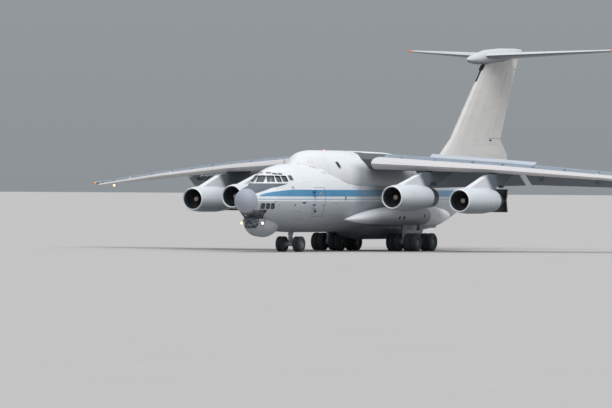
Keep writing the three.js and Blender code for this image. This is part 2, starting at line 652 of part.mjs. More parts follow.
function wingParts() {
  const half = wingLoft([0, 2.4, 10.5, 18, 24.9], fixedOutline);
  let wing = half.add(wingLoft([AILERON.tip, HALF_SPAN], fullOutline)).add(wingLoft(AILERON.rib, ribOutline));
  for (const flap of FLAPS) {
    for (const share of flap.tracks) wing = wing.add(flapTrack(flap, share)).add(flapBracket(flap, share));
  }
  for (const y of SLAT.rods) {
    wing = wing.subtract(slatRod(y, FIT_GAP));
  }

  let { solid: aileronSolid, from, to } = aileron();
  [wing, aileronSolid] = pinInto(wing, aileronSolid, from, pastEnd(to, from, 0.15), AILERON.pin);
  [wing, aileronSolid] = pinInto(wing, aileronSolid, to, pastEnd(from, to, 0.15), AILERON.pin);

  const plate = spoiler();
  let spoilerSolid = plate.solid;
  for (const [a, b] of [[plate.from, plate.to], [plate.to, plate.from]]) {
    const tip = pastEnd(b, a, 0.14);
    const near = pastEnd(b, a, 0.02);
    const [y0, y1] = [tip[1], near[1]].sort((p, q) => p - q);
    wing = wing.add(box([near[0] - 0.25, near[0] + 0.05], [y0, y1], [near[2] - 0.12, near[2] + 0.045]));
    [wing, spoilerSolid] = pinInto(wing, spoilerSolid, a, tip, SPOILER.pin);
  }
  const raised = swung(spoilerSolid, plate.from, plate.to, -SPOILER.raised);

  const whole = wing.add(mirrored(wing));
  addMesh("wing", whole, MATERIALS.grey);
  const slat = slatSolid();
  for (const { side, s } of SIDES) {
    addMesh(`slat_${side}`, onSide(slat, s), MATERIALS.pale, `slat_${side}`);
    addJoint({ name: `slat_${side}_slide`, child: `slat_${side}`, slide: slatSlide, range: [-SLAT_TRAVEL, 0] });
    addMesh(`aileron_${side}`, onSide(aileronSolid, s), MATERIALS.grey, `aileron_${side}`);
    const hinge = [from, to].map((p) => mirrorPoint(p, s));
    addJoint({
      name: `aileron_${side}_hinge`,
      child: `aileron_${side}`,
      from: hinge[s > 0 ? 0 : 1],
      to: hinge[s > 0 ? 1 : 0],
      range: [-28, 16],
    });
    addMesh(`spoiler_${side}`, onSide(raised, s), MATERIALS.grey, `spoiler_${side}`);
    const edge = [plate.from, plate.to].map((p) => mirrorPoint(p, s));
    addJoint({
      name: `spoiler_${side}_hinge`,
      child: `spoiler_${side}`,
      from: edge[s > 0 ? 0 : 1],
      to: edge[s > 0 ? 1 : 0],
      range: [0, SPOILER.raised],
    });
    for (const flap of FLAPS) {
      const name = `flap_${flap.name}_${side}`;
      addMesh(name, onSide(flapSolid(flap), s), MATERIALS.grey, name);
      const axis = flapAxis(flap).map((p) => mirrorPoint(p, s));
      addJoint({
        name: `${name}_track`,
        child: name,
        from: axis[s > 0 ? 0 : 1],
        to: axis[s > 0 ? 1 : 0],
        range: [-FLAP_ANGLE, 0],
      });
    }
  }
  return whole;
}

// The height of the fuselage's underside at a station and a distance from the middle.
function undersideZ(x, y, inset) {
  const [, top, bottom, halfWidth] = sectionAt(ALL_SECTIONS, x);
  const share = y / (halfWidth - inset);
  return (top + bottom) / 2 - ((top - bottom) / 2 - inset) * Math.sqrt(1 - share * share);
}

// Copies of a solid moved a fit gap each way, to cut the seat of its neighbour.
function seatOf(solid) {
  const g = FIT_GAP;
  const moves = [[g, 0, 0], [-g, 0, 0], [0, g, 0], [0, -g, 0], [0, 0, g], [0, 0, -g]];
  return joinAll(moves.map((move) => solid.translate(move)));
}

// The fairing over the wing root. Columns: station, top, half width.
const HUMP_SECTIONS = [
  [7.7, 6.15, 0.5],
  [8.4, 6.66, 0.95],
  [9.4, 7.08, 1.4],
  [10.8, 7.2, 1.85],
  [12.6, 7.2, 2.25],
  [14.6, 7.2, 2.36],
  [21.6, 7.12, 2.36],
  [24.4, 6.9, 2.1],
  [27, 6.55, 1.5],
  [29, 6.2, 0.6],
];
const HUMP_MIDDLE = 5.3;

function centreParts(wing) {
  const hold = bodyLoft(CENTRE_SECTIONS, BODY_WALL).intersect(
    box([HOLD.front, CENTRE_END + 1], [-HOLD.halfWidth, HOLD.halfWidth], [HOLD.floor, HOLD.ceiling]),
  );
  const wingInside = wing.intersect(box([BAY.front - 1, BAY.rear], [-1.6, 1.6], [0, 9]));
  const bayFloor = wingInside.boundingBox().min[2] - FIT_GAP;
  const bay = box([BAY.front - 0.6, 21.6], [-3, 3], [bayFloor, 9]);
  const doorway = box([NOSE_END - 0.5, HOLD.front + 0.2], [-0.45, 0.45], [2.3, 4.1]);
  const through = box([CENTRE_END - 0.3, CENTRE_END + 0.3], [-1.6, 1.6], [HOLD.floor, 5.4]);
  let centre = bodyLoft(CENTRE_SECTIONS, 0).subtract(hold).subtract(bay).subtract(doorway).subtract(through);
  centre = centre.subtract(box([NOSE_END - 1, NOSE_END + FIT_GAP], [-3, 3], [0, 9]));
  centre = centre.subtract(box([CENTRE_END - FIT_GAP, CENTRE_END + 1], [-3, 3], [0, 9]));
  addMesh("centre_fuselage", centre, MATERIALS.white);

  const humpRings = HUMP_SECTIONS.map(([x, top, halfWidth]) =>
    bodyRing([x, top, 2 * HUMP_MIDDLE - top, halfWidth], 0),
  );
  const hump = loft(humpRings).subtract(BODY_GROWN).subtract(seatOf(wing));
  addMesh("wing_fairing", largestBody(hump), MATERIALS.white);
}

// The biggest of the bodies that a cut leaves.
function largestBody(solid) {
  return solid.decompose().reduce((best, body) => (body.volume() > best.volume() ? body : best));
}

// Engines. Columns: name, distance to the right, intake station, height of the middle.
const ENGINES = [
  { name: "left_outer", y: -10.62, x: 13.05, z: 3.67, reversing: true },
  { name: "left_inner", y: -6.35, x: 10.92, z: 3.88, reversing: false },
  { name: "right_inner", y: 6.35, x: 10.92, z: 3.88, reversing: false },
  { name: "right_outer", y: 10.62, x: 13.05, z: 3.67, reversing: true },
];
const ENGINE_SIDES = 16;
const SHAFT = { radius: 0.12, front: 1.0, rear: 1.36 };
const CORE = { front: 1.15, rear: 5.6 };
// Outline of the cowl outside. Columns: distance behind the intake lip, radius.
const COWL = [[0, 0.765], [0.08, 0.82], [0.55, 0.88], [1.4, 0.925], [3.6, 0.925], [5.2, 0.81], [5.54, 0.765], [5.56, 0.65], [6.28, 0.575]];
// The thrust reverser's half shells turn on pins at the sides of the nozzle, at a station in the cowl.
const BUCKET = { front: 5.6, rear: 6.4, hinge: 6.42, pin: 0.04, hub: 0.08, clear: 0.12, swing: 90 };

function nacelleSolid(closed) {
  const gapRadius = SHAFT.radius + 3 * FIT_GAP;
  const intake = [[SHAFT.rear, 0], [SHAFT.rear, gapRadius], [CORE.front, gapRadius], [CORE.front, 0.7], [0.1, 0.715]];
  const nozzle = [[6.28, 0.54], [CORE.rear, 0.55], [CORE.rear, 0.32], [6.2, 0.06], [6.2, 0]];
  const stowed = [...COWL.slice(0, -2), SHELL[2], [BUCKET.rear, 0.62], [6.2, 0.6], ...COWL.slice(-1)];
  return turned([...intake, ...(closed ? stowed : COWL), ...nozzle], 0, 0, ENGINE_SIDES);
}

const cowlGrown = () =>
  turned([[0, 0], ...COWL.map(([x, r]) => [x, r + FIT_GAP]), [6.29, 0]], 0, 0, ENGINE_SIDES);

function fanSolid() {
  const spinner = [[0.5, 0], [0.58, 0.12], [0.72, 0.22], [0.85, 0.27]];
  const disc = [[0.85, 0.675], [SHAFT.front, 0.675], [SHAFT.front, SHAFT.radius], [SHAFT.rear - 0.01, SHAFT.radius]];
  return turned([...spinner, ...disc, [SHAFT.rear - 0.01, 0]], 0, 0, 12);
}

function pylonSolid({ x, y, z }, wing) {
  const d = Math.abs(y);
  const { thickness } = stationAt(WING_STATIONS, d);
  const lip = wingPoint(d, SLAT.lip, -halfDepth(SLAT.lip, thickness)).map((v, k) => v + slatSlide[k] * SLAT_TRAVEL);
  const under = (u, drop) => wingPoint(d, u, -halfDepth(u, thickness), -drop);
  const profile = [
    [x + 0.95, z + 0.75],
    [x + 1.12, z + 0.9],
    [lip[0] - 1.35, lip[2] - 0.16],
    [lip[0] + 0.3, lip[2] - 0.07],
    [under(0.12, -0.15)[0], under(0.12, -0.15)[2]],
    [under(0.56, -0.12)[0], under(0.56, -0.12)[2]],
    [under(0.56, 0.06)[0], under(0.56, 0.06)[2]],
    [x + 6.5, z + 0.62],
    [x + 5.2, z + 0.5],
  ];
  const middleX = (profile[0][0] + profile[5][0]) / 2;
  const ring = (offset, taper) => profile.map(([px, pz]) => [px + (middleX - px) * taper, d + offset, pz]);
  const solid = loft([ring(-0.2, 0.07), ring(-0.12, 0), ring(0.12, 0), ring(0.2, 0.07)]);
  const reach = Math.hypot(BUCKET.hinge - BUCKET.front, SHELL[1][1]) + 0.02;
  const swept = rod([BUCKET.hinge, -1, 0], [BUCKET.hinge, 1, 0], reach, 24);
  const stowed = turned([[5.1, 0], [5.5, 0.777], ...SHELL.slice(1, 3).map(([px, r]) => [px, r + 0.012]), [6.42, 0]], 0, 0, ENGINE_SIDES);
  const engine = cowlGrown().add(stowed).add(swept).translate([x, d, z]);
  return onSide(largestBody(solid.subtract(seatOf(wing)).subtract(engine)), Math.sign(y));
}

// The outline of the reverser's shell, closed over the nozzle. Columns: station in the cowl, radius.
const SHELL = [[BUCKET.front, 0.69], [BUCKET.front, 0.765], [BUCKET.rear, 0.685], [BUCKET.rear, 0.635]];

// A plate in the XZ plane between two distances to the side.
const sidePlate = (outline, [y0, y1]) => loft([y0, y1].map((y) => outline.map(([x, z]) => [x, y, z])));

// The upper half shell, with its arms to the pins, before it swings behind the nozzle. The arm's root is
// given by its station and its two heights on the shell.
function bucketSolid([y0, y1], [rootX, low, high]) {
  const x = BUCKET.hinge;
  const across = (radius) => rod([x, -1, 0], [x, 1, 0], radius, 10);
  const shell = turned(SHELL, 0, 0, ENGINE_SIDES).intersect(box([0, 9], [-1, 1], [0.03, 1]));
  const arm = [[x - 0.03, 0], [rootX, low], [rootX, high], [rootX + 0.15, high], [x + 0.06, 0.05]];
  const half = sidePlate(arm, [y0, y1]).add(rod([x, y0, 0], [x, y1, 0], BUCKET.hub, 8));
  const whole = shell.subtract(across(BUCKET.clear)).add(half).add(mirrored(half));
  return whole.subtract(bore([x, -1, 0], [x, 1, 0], BUCKET.pin));
}

// The cheeks behind the nozzle with the pins that the reverser turns on.
function reverserCheeks() {
  const x = BUCKET.hinge;
  const cheek = box([6.1, x + 0.1], [0.54, 0.59], [-0.1, 0.1]).add(rod([x, 0.56, 0], [x, 0.7, 0], BUCKET.pin));
  return cheek.add(mirrored(cheek));
}

function engineParts(wing) {
  const closed = nacelleSolid(true);
  const open = nacelleSolid(false).add(reverserCheeks());
  const fan = fanSolid();
  const upper = bucketSolid([0.605, 0.64], [5.95, 0.22, 0.36]);
  const lower = bucketSolid([0.65, 0.685], [5.9, 0.06, 0.2]).mirror([0, 0, 1]);
  for (const engine of ENGINES) {
    const at = [engine.x, engine.y, engine.z];
    addMesh(`nacelle_${engine.name}`, engine.reversing ? open : closed, MATERIALS.nacelle, "root", at);
    addMesh(`pylon_${engine.name}`, pylonSolid(engine, wing), MATERIALS.white);
    addMesh(`fan_${engine.name}`, fan, MATERIALS.steel, `fan_${engine.name}`, at);
    addJoint({
      name: `fan_${engine.name}_spin`,
      child: `fan_${engine.name}`,
      from: at,
      to: [at[0] + 1, at[1], at[2]],
      continuous: true,
    });
    if (!engine.reversing) continue;
    for (const [half, solid, sign] of [["upper", upper, 1], ["lower", lower, -1]]) {
      const [from, to] = [[BUCKET.hinge, -sign, 0], [BUCKET.hinge, sign, 0]];
      const name = `reverser_${half}_${engine.name}`;
      addMesh(name, swung(solid, from, to, BUCKET.swing), MATERIALS.hot, name, at);
      const placed = [from, to].map((p) => p.map((v, k) => v + at[k]));
      addJoint({ name: `${name}_hinge`, child: name, from: placed[0], to: placed[1], range: [-BUCKET.swing, 0] });
    }
  }
}

// Fin sections. Columns: height, leading edge, trailing edge, thickness.
const FIN_SECTIONS = [
  [5.9, 30.3, 44.1, 0.07],
  [7.15, 32.4, 43.9, 0.08],
  [8.2, 34.05, 42.75, 0.09],
  [14.3, 40.15, 45.85, 0.1],
];
const RUDDER = { bottom: 8.32, top: 13.45, share: 0.72, pin: 0.06, gap: 0.03 };
const finAt = (z) => {
  const i = Math.max(0, FIN_SECTIONS.findIndex((row) => row[0] >= z) - 1);
  const [a, b] = [FIN_SECTIONS[i], FIN_SECTIONS[i + 1]];
  const [, front, rear, thickness] = between(a, b, (z - a[0]) / (b[0] - a[0]));
  return { front, chord: rear - front, thickness };
};

// Tailplane stations. Columns: distance from the middle, leading edge, chord, height, thickness.
const TAILPLANE_STATIONS = [
  [0, 38.9, 5.5, 14.42, 0.095],
  [8.7, 44.84, 1.75, 14.92, 0.09],
];
const tailplaneAt = (y) => {
  const [, front, chord, z, thickness] = between(...TAILPLANE_STATIONS, Math.abs(y) / 8.7);
  return { front, chord, z, thickness };
};
const ELEVATOR = { inner: 0.72, outer: 8.3, share: 0.7, pin: 0.04, tip: 8.36, gap: 0.03 };
// The streamlined body on top of the fin. Columns: station, middle height, half height, half width.
const BULLET = [
  [36.8, 14.1, 0.02, 0.02],
  [37.3, 14.12, 0.24, 0.24],
  [38.4, 14.2, 0.42, 0.42],
  [40, 14.34, 0.56, 0.5],
  [42.5, 14.5, 0.57, 0.5],
  [45, 14.74, 0.36, 0.36],
  [46.3, 14.88, 0.16, 0.16],
  [46.58, 14.92, 0.03, 0.03],
];

// A hinge line and a control surface between two places along a fin or tailplane.
function tailSurface(places, at, toPoint, share, gap, across) {
  const ends = places.map((place) => {
    const { front, chord, thickness } = at(place);
    const half = halfDepth(share, thickness) * chord;
    return { hinge: toPoint(place, front + share * chord), tail: toPoint(place, front + chord), half };
  });
  const solid = loft(ends.map(({ hinge, tail, half }) => surfaceSection(hinge, tail, half, across)));
  const bayFront = ends.map(({ hinge, half }) => hinge[0] - half - gap);
  return { solid, from: ends[0].hinge, to: ends[1].hinge, bayFront };
}

function tailParts() {
  const outline = (t) => fullOutline(t);
  const finRing = ([z, front, rear, t]) => outline(t).map(([u, w]) => [front + u * (rear - front), w * (rear - front), z]);
  let fin = loft(FIN_SECTIONS.map(finRing));
  const rudder = tailSurface([RUDDER.bottom, RUDDER.top], finAt, (z, x) => [x, 0, z], RUDDER.share, RUDDER.gap, [0, 1, 0]);
  const { bottom, top } = RUDDER;
  const room = 0.11;
  const frontAt = (z) => rudder.bayFront[0] + ((rudder.bayFront[1] - rudder.bayFront[0]) * (z - bottom)) / (top - bottom);
  const [low, high] = [bottom - 0.06, top + room];
  const rudderBay = sidePlate([[frontAt(low), low], [50, low], [50, high], [frontAt(high), high]], [-1, 1]);
  fin = fin.subtract(rudderBay);
  let rudderSolid = rudder.solid;
  [fin, rudderSolid] = pinInto(fin, rudderSolid, rudder.from, pastEnd(rudder.to, rudder.from, 0.25), RUDDER.pin);
  [fin, rudderSolid] = pinInto(fin, rudderSolid, rudder.to, pastEnd(rudder.from, rudder.to, 0.3), RUDDER.pin);

  const tailRing = (y) => {
    const { front, chord, z, thickness } = tailplaneAt(y);
    return fullOutline(thickness).map(([u, w]) => [front + u * chord, y, z + w * chord]);
  };
  let plane = loft([-8.7, 0, 8.7].map(tailRing));
  const bullet = loft(BULLET.map(([x, z, up, across]) => bodyRing([x, z + up, z - up, across], 0, 12)));
  const elevator = tailSurface(
    [ELEVATOR.inner, ELEVATOR.outer],
    tailplaneAt,
    (y, x) => [x, y, tailplaneAt(y).z],
    ELEVATOR.share,
    ELEVATOR.gap,
    [0, 0, 1],
  );
  const [inner, outer] = [ELEVATOR.inner - 0.06, ELEVATOR.tip];
  const slope = (elevator.bayFront[1] - elevator.bayFront[0]) / (ELEVATOR.outer - ELEVATOR.inner);
  const edge = (y) => elevator.bayFront[0] + slope * (y - ELEVATOR.inner);
  const bayRing = (z) => [[edge(inner), inner, z], [50, inner, z], [50, outer, z], [edge(outer), outer, z]];
  const elevatorBay = loft([bayRing(13), bayRing(16)]);
  plane = plane.subtract(elevatorBay).subtract(mirrored(elevatorBay)).add(bullet);
  let elevatorSolid = elevator.solid;
  const root = pastEnd(elevator.to, elevator.from, 0.35);
  const tip = pastEnd(elevator.from, elevator.to, 0.2);
  elevatorSolid = elevatorSolid.add(rod(elevator.from, root, ELEVATOR.pin)).add(rod(elevator.to, tip, ELEVATOR.pin));
  const holes = bore(pastEnd(tip, root, FIT_GAP), pastEnd(root, tip, FIT_GAP), ELEVATOR.pin);
  plane = plane.subtract(holes).subtract(mirrored(holes));
  fin = largestBody(fin.subtract(seatOf(plane)).subtract(BODY_GROWN));
  addMesh("fin", fin, MATERIALS.white);
  addMesh("tailplane", plane, MATERIALS.grey);
  addMesh("rudder", rudderSolid, MATERIALS.white, "rudder");
  addJoint({ name: "rudder_hinge", child: "rudder", from: rudder.from, to: rudder.to, range: [-27, 27] });
  for (const { side, s } of SIDES) {
    addMesh(`elevator_${side}`, onSide(elevatorSolid, s), MATERIALS.grey, `elevator_${side}`);
    const hinge = sideHinge(elevator.from, elevator.to, s);
    addJoint({ name: `elevator_${side}_hinge`, child: `elevator_${side}`, ...hinge, range: [-21, 15] });
  }
}

// A hinge line on one side, so that the same angles move both sides alike.
const sideHinge = (from, to, s) =>
  s > 0 ? { from, to } : { from: mirrorPoint(to, s), to: mirrorPoint(from, s) };

// Cargo doors under the tail
const TAIL_WALL = 0.18;
const RAMP = { x: 29.72, z: 1.72, length: 4.45, halfWidth: 1.6, floorRear: 3.2, swing: 32, lug: [0.45, 0.6] };
const REAR_DOOR = { rear: 38.2, frontHalf: 1.62, rearHalf: 1.06, split: 0.62, gap: 0.03 };
const CENTRE_HINGE = { x: 38.36, lug: 0.4, pin: 0.04 };

// A block with a tapering plan. Columns of the plan: station, distance to the side.
const planBlock = (plan, [z0, z1]) => loft([z0, z1].map((z) => plan.map(([x, y]) => [x, y, z])));

function tailSectionParts() {
  const cavity = bodyLoft([sectionAt(ALL_SECTIONS, CENTRE_END - 0.5), ...TAIL_SECTIONS.slice(0, 4), sectionAt(TAIL_SECTIONS, 39.2)], TAIL_WALL);
  const outer = bodyLoft(TAIL_SECTIONS, 0);
  const skin = outer.subtract(cavity);
  const { x, z, length, halfWidth, floorRear, swing, lug } = RAMP;
  const sweep = (radius) => rod([x, -3, z], [x, 3, z], radius, 72);
  const rampFloor = sidePlate([[x - 0.2, HOLD.floor], [x - 0.2, 0], [36, 0], [36, HOLD.floor + ((floorRear - HOLD.floor) * 6.5) / 4.4]], [-3, 3]);
  const rampRoom = box([x, 36], [-halfWidth - 0.02, halfWidth + 0.02], [0, 3.9]).intersect(sweep(length));
  let ramp = skin.add(outer.intersect(rampFloor));
  ramp = ramp.intersect(box([x + 0.05, 36], [-halfWidth, halfWidth], [0, 3.9])).intersect(sweep(length - 0.02));
  const wide = [[33, REAR_DOOR.frontHalf], [34.0, REAR_DOOR.frontHalf], [REAR_DOOR.rear, REAR_DOOR.rearHalf]];
  const rearRoom = planBlock([...wide, ...wide.map(([px, py]) => [px, -py]).reverse()], [2, 4.9]);
  let tail = skin.subtract(rampRoom).subtract(rearRoom.subtract(sweep(length)));
  tail = tail.subtract(box([CENTRE_END - 1, CENTRE_END + FIT_GAP], [-3, 3], [0, 9]));

  // The ramp's arms and the lugs that hold its pins.
  const [pin, armRadius, lugRadius] = [0.045, 0.08, 0.09];
  for (const s of [-1, 1]) {
    const [a, b] = lug.map((y) => y * s);
    const onPin = (y0, y1, radius) => rod([x, y0, z], [x, y1, z], radius, 12);
    const ordered = (y0, y1) => [Math.min(y0, y1), Math.max(y0, y1)];
    for (const [y0, y1] of [[b + 0.01 * s, b + 0.16 * s], [a - 0.16 * s, a - 0.01 * s]]) {
      ramp = ramp.add(onPin(y0, y1, armRadius)).add(box([x, x + 0.3], ordered(y0, y1), [z - armRadius, z + armRadius]));
      tail = tail.subtract(onPin(y0 - 0.02 * s, y1 + 0.02 * s, armRadius + 0.015));
    }
    ramp = ramp.subtract(onPin(a - 0.009 * s, b + 0.009 * s, lugRadius + 0.015)).add(rod([x, a - 0.05 * s, z], [x, b + 0.05 * s, z], pin));
    tail = tail.add(onPin(a, b, lugRadius)).add(box([CENTRE_END + 0.01, x], ordered(a, b), [z - lugRadius, z + lugRadius]));
    tail = tail.subtract(bore([x, a - 0.1 * s, z], [x, b + 0.1 * s, z], pin));
  }
  addMesh("cargo_ramp", ramp, MATERIALS.grey, "cargo_ramp");
  addJoint({ name: "cargo_ramp_hinge", child: "cargo_ramp", from: [x, -1, z], to: [x, 1, z], range: [0, swing] });

  // Side doors, hinged along their outer edges.
  const { rear, frontHalf, rearHalf, split, gap } = REAR_DOOR;
  const sidePlan = [
    [33.2, split + gap / 2],
    [rear - 0.08, split + gap / 2],
    [rear - 0.08, rearHalf - gap],
    [34, frontHalf - gap],
    [33.2, frontHalf - gap],
  ];
  const clearRamp = sweep(length + 0.06);
  const doorHeights = [2, 4.9];
  let door = skin.intersect(planBlock(sidePlan, doorHeights)).subtract(clearRamp);
  const hingeAt = (px) => {
    const py = frontHalf + ((rearHalf - frontHalf) * (px - 34)) / (rear - 34) - 0.02;
    return [px, py, undersideZ(px, py, 0) - 0.01];
  };
  const [front, back] = [hingeAt(34.35), hingeAt(37.95)];
  const doorPin = 0.035;
  const [pins, arms] = [[], []];
  const [blocks, rooms, notches, holes] = [[], [], [], []];
  for (const [a, b] of [[front, back], [back, front]]) {
    const [start, near, end] = [between(a, b, 0.05), pastEnd(b, a, 0.03), pastEnd(b, a, 0.2)];
    pins.push(rod(start, end, doorPin));
    arms.push(slabBetween(a, between(a, b, 0.06), 0.14));
    rooms.push(slabBetween(near, between(a, b, 0.08), 0.22));
    blocks.push(rod(near, end, 0.1, 12));
    notches.push(rod(pastEnd(b, a, 0.015), pastEnd(b, a, 0.22), 0.115, 12));
    holes.push(bore(start, pastEnd(b, a, 0.22), doorPin));
  }
  door = door.subtract(joinAll(notches)).add(joinAll(arms)).add(joinAll(pins));
  for (const { side, s } of SIDES) {
    tail = tail.subtract(onSide(joinAll(rooms), s)).add(onSide(joinAll(blocks), s)).subtract(onSide(joinAll(holes), s));
    const name = `cargo_door_${side}`;
    addMesh(name, onSide(largestBody(door), s), MATERIALS.grey, name);
    addJoint({ name: `${name}_hinge`, child: name, ...sideHinge(front, back, s), range: [0, 60] });
  }

  // The centre door lifts into the tail on arms at its rear edge.
  const half = split - gap / 2;
  const centrePlan = [[33.2, half], [rear - gap, half], [rear - gap, -half], [33.2, -half]];
  let centreDoor = skin.intersect(planBlock(centrePlan, doorHeights)).subtract(clearRamp);
  const hingeZ = undersideZ(CENTRE_HINGE.x + 0.06, CENTRE_HINGE.lug, TAIL_WALL) + 0.07;
  const { lug: lugY, pin: centrePin, x: hx } = CENTRE_HINGE;
  for (const s of [-1, 1]) {
    const [y0, y1] = s > 0 ? [lugY - 0.14, lugY - 0.01] : [-lugY + 0.01, -lugY + 0.14];
    const armOutline = [[37.6, hingeZ - 0.36], [37.6, hingeZ - 0.2], [hx - 0.2, hingeZ + 0.05], [hx + 0.05, hingeZ + 0.05], [hx + 0.05, hingeZ - 0.05], [hx - 0.1, hingeZ - 0.05]];
    centreDoor = centreDoor.add(sidePlate(armOutline, [y0, y1]));
    const [pinFrom, pinTo] = [[hx, s * (lugY - 0.08), hingeZ], [hx, s * (lugY + 0.1), hingeZ]];
    centreDoor = centreDoor.add(rod(pinFrom, pinTo, centrePin));
    const block = box([hx - 0.08, hx + 0.1], s > 0 ? [lugY, lugY + 0.14] : [-lugY - 0.14, -lugY], [hingeZ - 0.16, hingeZ + 0.08]);
    tail = tail.add(block.intersect(outer)).subtract(bore(pinFrom, [hx, s * (lugY + 0.12), hingeZ], centrePin));
  }
  addMesh("cargo_door_centre", largestBody(centreDoor), MATERIALS.grey, "cargo_door_centre");
  addJoint({
    name: "cargo_door_centre_hinge",
    child: "cargo_door_centre",
    from: [hx, -1, hingeZ],
    to: [hx, 1, hingeZ],
    range: [0, 22],
  });
  addMesh("tail_section", largestBody(tail), MATERIALS.white);
}

// Landing gear fairings. Columns: station, half width, half height, place across, height.
const POD_SECTIONS = [
  [12.4, 0.12, 0.05, 1.98, 2.28],
  [13.3, 0.4, 0.24, 2.2, 2.34],
  [15.2, 0.7, 0.5, 2.6, 2.45],
  [18, 0.85, 0.66, 2.9, 2.55],
  [24, 0.86, 0.68, 2.9, 2.55],
  [26, 0.66, 0.52, 2.9, 2.55],
  [27.3, 0.28, 0.24, 2.9, 2.55],
  [27.7, 0.05, 0.05, 2.9, 2.55],
];
const KEEL_Z = 1.75;
const KEEL_SECTIONS = [
  [15.6, 0.5, 0.3],
  [17, 1.3, 0.72],
  [18.8, 1.7, 0.92],
  [23.6, 1.7, 0.92],
  [25.6, 1.3, 0.7],
  [27, 0.5, 0.3],
];
const MAIN_LEG = { radius: 0.17, top: 2.7, hub: 0.21, hubHalf: 0.165, axle: 0.1, beam: { half: 0.1, low: 2.3, high: 2.5 } };
const NOSE_STRUT = { radius: 0.13, pin: 0.08, pinTop: 1.7, hub: 0.15, hubHalf: 0.34, axle: 0.07 };
const WHEEL_SIDES = 16;

// Wheels on one axle at these places along it. Twins share their rims, other wheels have bare axle between.
function wheelSet(places, { radius, width }, axle) {
  const grow = 1 / Math.cos(Math.PI / WHEEL_SIDES);
  const outline = [];
  for (const [i, y] of places.entries()) {
    const [low, high] = [y - width / 2, y + width / 2];
    const apart = (other) => other === undefined || Math.abs(other - y) > width + 0.1;
    if (apart(places[i - 1])) outline.push([low, axle]);
    outline.push([low, radius * 0.86], [low + 0.09, radius], [high - 0.09, radius], [high, radius * 0.86]);
    if (apart(places[i + 1])) outline.push([high, axle]);
  }
  const [first, last] = [outline[0][0], outline[outline.length - 1][0]];
  const profile = [[first, 0], ...outline, [last, 0]];
  const geometry = new THREE.LatheGeometry(
    profile.map(([y, r]) => new THREE.Vector2(r * grow, y)),
    WHEEL_SIDES,
  );
  geometry.rotateY(Math.PI / WHEEL_SIDES);
  return fromGeometry(geometry);
}

// The hole in a leg that an axle's flats turn in.
function wheelBore(x, axle) {
  const corner = axle / Math.cos(Math.PI / WHEEL_SIDES);
  const radius = (corner + FIT_GAP) / Math.cos(Math.PI / WHEEL_SIDES);
  return rod([x, -1, 0], [x, 1, 0], radius, WHEEL_SIDES);
}

